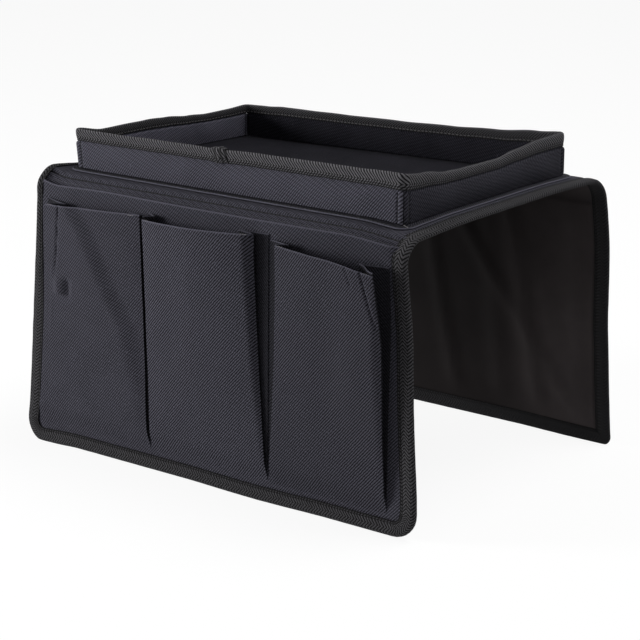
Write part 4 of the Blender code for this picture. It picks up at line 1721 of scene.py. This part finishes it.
class RimTape:
    """The tape round the tray's rim."""

    ARM_STEPS = 6
    TURN_STEPS = 8
    STEP = 0.0022
    STITCH_STEP = 0.003
    # Where on the front wall the tape's ends meet, and how far to either side it is crumpled.
    JOINT = -0.011
    CRUMPLED = 0.009
    # From an arm's edge to its stitches, and how far these lie out from its face on the outside and
    # on the inside.
    STITCH_INSET = 0.0016
    STITCHES_OUT = (-0.0001, 0.00012)

    def __init__(self, tray):
        self.tray = tray
        cloth = tray.saddle.cloth
        self.over = cloth.gap / 2 + cloth.cloth + cloth.gap + cloth.tape / 2
        self.half_tape = cloth.tape / 2
        self.width = cloth.rim_tape_width

    def crumple(self, wall, t):
        """1 at the tape's joint, on the front wall."""
        return hump(t, self.JOINT, self.CRUMPLED) if WALLS[wall] == "front" else 0.0

    def profile(self):
        """(inset, out, distance round the tape from its fold) from the outer arm to the inner."""
        radius = self.over
        arm = spread(self.width, self.half_tape + radius, self.ARM_STEPS)
        points = [(inset, self.over) for inset in arm[:-1]]
        for share in shares(self.TURN_STEPS):
            turn = math.pi * share
            inset = self.half_tape + radius - radius * math.sin(turn)
            points.append((inset, self.over * math.cos(turn)))
        points += [(inset, -self.over) for inset in reversed(arm[:-1])]
        run = distances([Vector(point) for point in points])
        return [(*point, there - run[-1] / 2) for point, there in zip(points, run)]

    def place(self, wall, t, inset, out, along):
        """A place on the tape, with its waves, its soft arms and its crumpled joint."""
        tray = self.tray
        height = tray.sizes.height
        top = 1.0 - ease(inset, 0.0, self.width)
        wave = 0.0004 * wander(along, 0.0, 0.022, 51.0) * top
        corner = hump(abs(t), tray.reach(wall), 0.006)
        wave += 0.0003 * corner * wander(along, 2.0, 0.002, 52.0)
        edge = 0.0003 * wander(along, 3.0, 0.012, 53.0) * ease(inset, 0.002, self.width)
        crumple = self.crumple(wall, t)
        kink = crumple * 0.0009 * wander(along, inset, 0.0035, 54.0)
        away = 1.0 if out > 0 else -1.0
        pillow = 0.0003 * hump(inset, self.width * 0.45, self.width * 0.5)
        pressed = 0.0002 * hump(inset, self.width - self.STITCH_INSET, 0.0012)
        out += away * (pillow - pressed + crumple * 0.0006 + abs(kink))
        return tray.place(wall, t, out, height - inset + wave + edge + kink)

    def stitch_line(self, outer):
        """The seam along an arm, as (point, normal) on the tape's face."""
        away, lift = (1.0, self.STITCHES_OUT[0]) if outer else (-1.0, self.STITCHES_OUT[1])
        face = away * (self.over + self.half_tape + lift)

        def spot_at(wall, t, along):
            place_at = partial(self.place, wall, t, self.width - self.STITCH_INSET, along=along)
            return with_normal(place_at, face, away)

        spots = tray_loop(self.tray, spot_at, self.STITCH_STEP)
        return spots + spots[:1]


class ORGANIZER_OT_rim_tape(bpy.types.Operator):
    """Fold the herringbone tape over the tray's rim, with its crumpled joint on the front wall"""

    bl_idname = "organizer.rim_tape"
    bl_label = "Rim tape"

    # The lapped end: its start from the joint, its length, how far it runs on across the tape, its
    # steps and its thickness.
    END_START = -0.006
    END_LENGTH = 0.011
    END_SLANT = 0.0035
    END_STEPS = 14
    END_TAPE = 0.0006

    def execute(self, context):
        tape = RimTape(Tray(Saddle()))
        profile = tape.profile()

        def row_at(wall, t, along):
            points = [tape.place(wall, t, inset, out, along) for inset, out, _ in profile]
            marks = [(along, around, tape.width - inset) for inset, _, around in profile]
            return list(zip(points, marks))

        rows = tray_loop(tape.tray, row_at, tape.STEP)
        thickness, rim = tape.half_tape * 2, finish("rim tape")
        piece = sheet("tray_rim_tape", rows, thickness, rim, "saddle_top", closed=True)
        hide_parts("tray_rim_binding")
        self.joint(tape, profile)
        return {"FINISHED"}

    def joint(self, tape, profile):
        """The tape's end, folded under and lapped over its start."""
        rows = []
        for share in shares(self.END_STEPS):
            row = []
            for inset, out, around in profile:
                slant = self.END_SLANT * inset / tape.width
                t = tape.JOINT + self.END_START + self.END_LENGTH * share + slant
                along = t + tape.tray.reach(0)
                away = 1.0 if out > 0 else -1.0
                lap = 0.0006 + 0.0003 * math.sin(math.pi * share)
                point = tape.place(0, t, inset - 0.0003, out + away * lap, along)
                point.z += (lap + 0.0002) * (1.0 - ease(inset, 0.0, 0.003))
                mark = (along + 0.0011, around, 0.0005 + 0.004 * min(share, 1 - share))
                row.append((point, mark))
            rows.append(row)
        rim = finish("rim tape")
        piece = sheet("tray_rim_tape_end", rows, self.END_TAPE, rim, "saddle_top")


# Threads


class ORGANIZER_OT_threads(bpy.types.Operator):
    """Sew the seams: along the tapes, over the folds, on the seam strip and at the pockets"""

    bl_idname = "organizer.threads"
    bl_label = "Threads"

    THICK_THREAD = 0.0003
    PALE_THREAD = 0.00028
    FOLD_STEPS = 80
    CORNER_STEPS = 10
    # How far the rows over a fold are sunk under the plain cloth.
    FOLD_SUNK = 0.0004
    # The seam strip's stitches: how far in from its edge and how high over the saddle.
    STRIP_INSET = 0.0016
    STRIP_HEIGHT = 0.0009
    STRIP_STEP = 0.004
    # The space under a corner's row of stitches, and over it up to the rim's seam.
    CORNER_ENDS = (0.002, 0.001)
    # The stitches at a pocket's hem: pitch, length and half the thread's thickness.
    FASTENING = {"pitch": 0.0016, "stitch": 0.0013, "radius": 0.0002}
    FASTENING_STEPS = 4
    # Where they start in from the side, and how far on they reach, as shares of the width.
    FASTENING_START = 0.015
    FASTENING_REACH = 0.075
    # The corner's loose ends: how far each leans to the right and rises, and their thread.
    KNOT_ENDS = ((-0.0012, 0.0022), (0.0004, 0.0030), (0.0016, 0.0018))
    KNOT = {"pitch": 0.0006, "stitch": 0.0021, "radius": 0.00028}

    def execute(self, context):
        saddle = Saddle()
        tray = Tray(saddle)
        thread = finish("sewing thread")
        for side, label in SIDES.items():
            tape = EdgeTape(saddle, side)
            lines = [tape.stitch_line(True), tape.stitch_line(False)]
            hung(stitches(f"{label}_tape_stitches", lines, thread), saddle, side)
            rows = range(len(saddle.SEAM_TURNS))
            lines = [self.fold_line(saddle, side, number) for number in rows]
            hung(stitches(f"{label}_fold_stitches", lines, thread), saddle, side)
        rim = RimTape(tray)
        outer, inner = [rim.stitch_line(True)], [rim.stitch_line(False)]
        pale = finish("pale thread")
        stitches("tray_rim_stitches", outer, thread, "saddle_top")
        stitches("tray_inner_stitches", inner, pale, "saddle_top", radius=self.PALE_THREAD)
        stitches("tray_strip_stitches", [self.strip_line(tray)], thread, "saddle_top")
        walls = range(len(WALLS))
        corners = [self.corner_line(tray, wall, end) for wall in walls for end in (-1, 1)]
        thick = self.THICK_THREAD
        stitches("tray_corner_stitches", corners, thread, "saddle_top", radius=thick)
        self.pocket_ends(saddle)
        self.corner_knot(tray)
        return {"FINISHED"}

    def fold_line(self, saddle, side, number):
        """One of the two rows of stitches over a fold."""
        run = saddle.seam_run(number)
        half = saddle.half_top - saddle.seam
        found = []
        for x in spread(-half, half, self.FOLD_STEPS):
            out = saddle.layer_out(side, x, run, saddle.sewn, saddle.raised)
            out += saddle.cloth.cloth / 2 - self.FOLD_SUNK
            found.append(with_normal(partial(saddle.curved, side, x, run), out))
        return found

    def strip_line(self, tray):
        """The row of stitches along the seam strip."""
        out = tray.saddle.face + tray.sizes.strip_reach - self.STRIP_INSET
        up = tray.saddle.cloth.gap + self.STRIP_HEIGHT

        def spot_at(wall, t, along):
            return tray.place(wall, t, out, up), UP

        spots = tray_loop(tray, spot_at, self.STRIP_STEP)
        return spots + spots[:1]

    def corner_line(self, tray, wall, end):
        """One of the two rows of stitches up a corner of the tray."""
        t = end * (tray.reach(wall) - tray.CORNER_SEAM)
        under, over = self.CORNER_ENDS
        found = []
        for up in spread(under, tray.seam - over, self.CORNER_STEPS):
            out = tray.saddle.raised + tray.swell(wall, t, up) + 0.0003
            found.append(with_normal(partial(tray.place, wall, t, up=up), out))
        return found

    def pocket_ends(self, saddle):
        """A few fastening stitches where each pleat meets its pocket's hem."""
        for number in range(len(Pocket.SEAMS)):
            pocket = Pocket(saddle, number)
            lines = []
            for hand, inward in enumerate(INWARD):
                start = hand + inward * self.FASTENING_START
                line = []
                for share in shares(self.FASTENING_STEPS):
                    across = start + inward * self.FASTENING_REACH * share
                    place, _ = pocket.place(across, 0.0, -saddle.cloth.cloth * 0.5)
                    line.append((place + UP * 0.0002, Vector((0.0, -0.5, 0.85))))
                lines.append(line)
            name = f"pocket_{number + 1}"
            pale = finish("pale thread")
            stitches(f"{name}_fastenings", lines, pale, name, **self.FASTENING)

    def corner_knot(self, tray):
        """The end of the thread at the tray's near corner."""
        wall = WALLS.index("front")
        corner = tray.reach(wall)
        normal = Vector((0.4, -0.4, 0.8)).normalized()
        lines = []
        for lean, rise in self.KNOT_ENDS:
            start = tray.place(wall, corner, 0.0024, 0.0020)
            end = tray.place(wall, corner, 0.0046, 0.0016)
            end += Vector((lean * 2, 0.0, rise - 0.0018))
            lines.append([(start, normal), (end, normal)])
        stitches("tray_corner_knot", lines, finish("pale thread"), "saddle_top", **self.KNOT)


# Studio


class ORGANIZER_OT_stage(bpy.types.Operator):
    """Set the floor, the lights and the camera"""

    bl_idname = "organizer.stage"
    bl_label = "Stage"

    CAMERA_TURN = math.radians(38.04)
    CAMERA_RISE = math.radians(15.74)
    CAMERA_DISTANCE = 1.48587
    CAMERA_TARGET = (0.00092, 0.00074, -0.09688)
    LENS = 122.46
    SENSOR = 36.0
    CLIP = (0.05, 50.0)
    # The floor: how far under the hems it lies, half its width, and how bright and how strong its
    # glow is where the camera sees it.
    FLOOR_DROP = 0.0003
    FLOOR_REACH = 6.0
    FLOOR_GLOW = 1.13
    GLOW_SHARE = 0.80
    # The white world's strength: how much more the camera sees, and what falls on the object.
    WORLD_SEEN = 0.86
    WORLD_LIGHT = 0.14
    # Lamps: turn and rise round the object in degrees, distance, size, power
    LAMPS = {
        "front left": (-52.0, 10.0, 2.2, 0.8, 36.5),
        "overhead": (130.0, 70.0, 1.9, 1.2, 16.0),
    }

    def execute(self, context):
        scene = context.scene
        scene.view_settings.view_transform = "Standard"
        self.floor(CAD_BOX[0].z - self.FLOOR_DROP)
        self.world(scene)
        for name, (turn, rise, *settings) in self.LAMPS.items():
            self.lamp(name, self.around(math.radians(turn), math.radians(rise)), *settings)
        self.camera(scene)
        return {"FINISHED"}

    def around(self, turn, rise):
        """The direction at that turn from the front and that rise."""
        return Vector(
            (math.sin(turn) * math.cos(rise), -math.cos(turn) * math.cos(rise), math.sin(rise))
        )

    def seen(self, shader):
        """1 where the camera or a reflection looks, and 0 for the light that falls on the object."""
        ray = shader.node("ShaderNodeLightPath").socket.node
        camera, glossy, through = (
            Wire(shader, ray.outputs[f"Is {kind} Ray"])
            for kind in ("Camera", "Glossy", "Transmission")
        )
        return (camera + glossy + through).math("MINIMUM", 1.0)

    def floor(self, height):
        mesh = bpy.data.meshes.new("floor")
        reach = self.FLOOR_REACH
        corners = [(-reach, -reach, height), (reach, -reach, height)]
        corners += [(reach, reach, height), (-reach, reach, height)]
        mesh.from_pydata(corners, [], [(0, 1, 2, 3)])
        shader = Shader(bpy.data.materials.new("studio floor"))
        tint = tuple(bpy.context.scene.organizer_finishes.floor)
        shader.set("Base Color", (*tint, 1.0))
        shader.set("Roughness", 0.9)
        shader.set("Specular IOR Level", 0.0)
        glow = shader.node("ShaderNodeEmission", sockets={"Strength": self.FLOOR_GLOW})
        plain = Wire(shader, shader.surface.outputs[0])
        factor = self.seen(shader) * self.GLOW_SHARE
        blend = shader.node("ShaderNodeMixShader", sockets={0: factor, 1: plain, 2: glow})
        out = shader.tree.nodes["Material Output"]
        shader.tree.links.new(blend.socket, out.inputs["Surface"])
        mesh.materials.append(shader.owner)
        floor = bpy.data.objects.new("floor", mesh)
        bpy.context.scene.collection.objects.link(floor)

    def world(self, scene):
        world = bpy.data.worlds.new("studio")
        scene.world = world
        shader = Shader(world)
        background = shader.tree.nodes["Background"]
        strength = self.seen(shader) * self.WORLD_SEEN + self.WORLD_LIGHT
        background.inputs["Color"].default_value = (1.0, 1.0, 1.0, 1.0)
        shader.tree.links.new(strength.socket, background.inputs["Strength"])

    def lamp(self, name, direction, distance, size, power):
        light = bpy.data.lights.new(name, "AREA")
        light.shape = "DISK"
        light.size = size
        light.energy = power
        lamp = bpy.data.objects.new(name, light)
        lamp.location = Vector(self.CAMERA_TARGET) + direction * distance
        lamp.rotation_mode = "QUATERNION"
        lamp.rotation_quaternion = (-direction).to_track_quat("-Z", "Y")
        bpy.context.scene.collection.objects.link(lamp)

    def camera(self, scene):
        lens = bpy.data.cameras.new("camera")
        lens.lens = self.LENS
        lens.sensor_width = self.SENSOR
        lens.sensor_fit = "HORIZONTAL"
        lens.clip_start, lens.clip_end = self.CLIP
        back = self.around(self.CAMERA_TURN, self.CAMERA_RISE)
        camera = bpy.data.objects.new("camera", lens)
        camera.location = Vector(self.CAMERA_TARGET) + back * self.CAMERA_DISTANCE
        camera.rotation_mode = "QUATERNION"
        camera.rotation_quaternion = (-back).to_track_quat("-Z", "Y")
        scene.collection.objects.link(camera)
        scene.camera = camera


OPERATORS = (
    ORGANIZER_OT_boards,
    ORGANIZER_OT_outer_cloth,
    ORGANIZER_OT_linings,
    ORGANIZER_OT_edge_tapes,
    ORGANIZER_OT_wide_pocket,
    ORGANIZER_OT_pocket_fronts,
    ORGANIZER_OT_pleats,
    ORGANIZER_OT_tray_walls,
    ORGANIZER_OT_tray_base,
    ORGANIZER_OT_rim_tape,
    ORGANIZER_OT_threads,
    ORGANIZER_OT_stage,
)


class ORGANIZER_PT_panel(bpy.types.Panel):
    """The organizer's sizes, and the steps that build it"""

    bl_idname = "ORGANIZER_PT_panel"
    bl_label = "Armrest organizer"
    bl_space_type = "VIEW_3D"
    bl_region_type = "UI"
    bl_category = "Organizer"

    def draw(self, context):
        layout = self.layout
        for name in GROUPS:
            group = getattr(context.scene, name)
            box = layout.box()
            box.label(text=name.replace("organizer_", "").capitalize())
            for prop in group.bl_rna.properties:
                if prop.identifier not in ("rna_type", "name"):
                    box.prop(group, prop.identifier)
        for operator in OPERATORS:
            layout.operator(operator.bl_idname)


def register():
    for name, group in GROUPS.items():
        bpy.utils.register_class(group)
        setattr(bpy.types.Scene, name, PointerProperty(type=group))
    for operator in OPERATORS:
        bpy.utils.register_class(operator)
    bpy.utils.register_class(ORGANIZER_PT_panel)


def unregister():
    bpy.utils.unregister_class(ORGANIZER_PT_panel)
    for operator in reversed(OPERATORS):
        bpy.utils.unregister_class(operator)
    for name, group in GROUPS.items():
        delattr(bpy.types.Scene, name)
        bpy.utils.unregister_class(group)


def main():
    register()
    for operator in OPERATORS:
        group, name = operator.bl_idname.split(".")
        getattr(getattr(bpy.ops, group), name)()


if __name__ == "__main__":
    main()
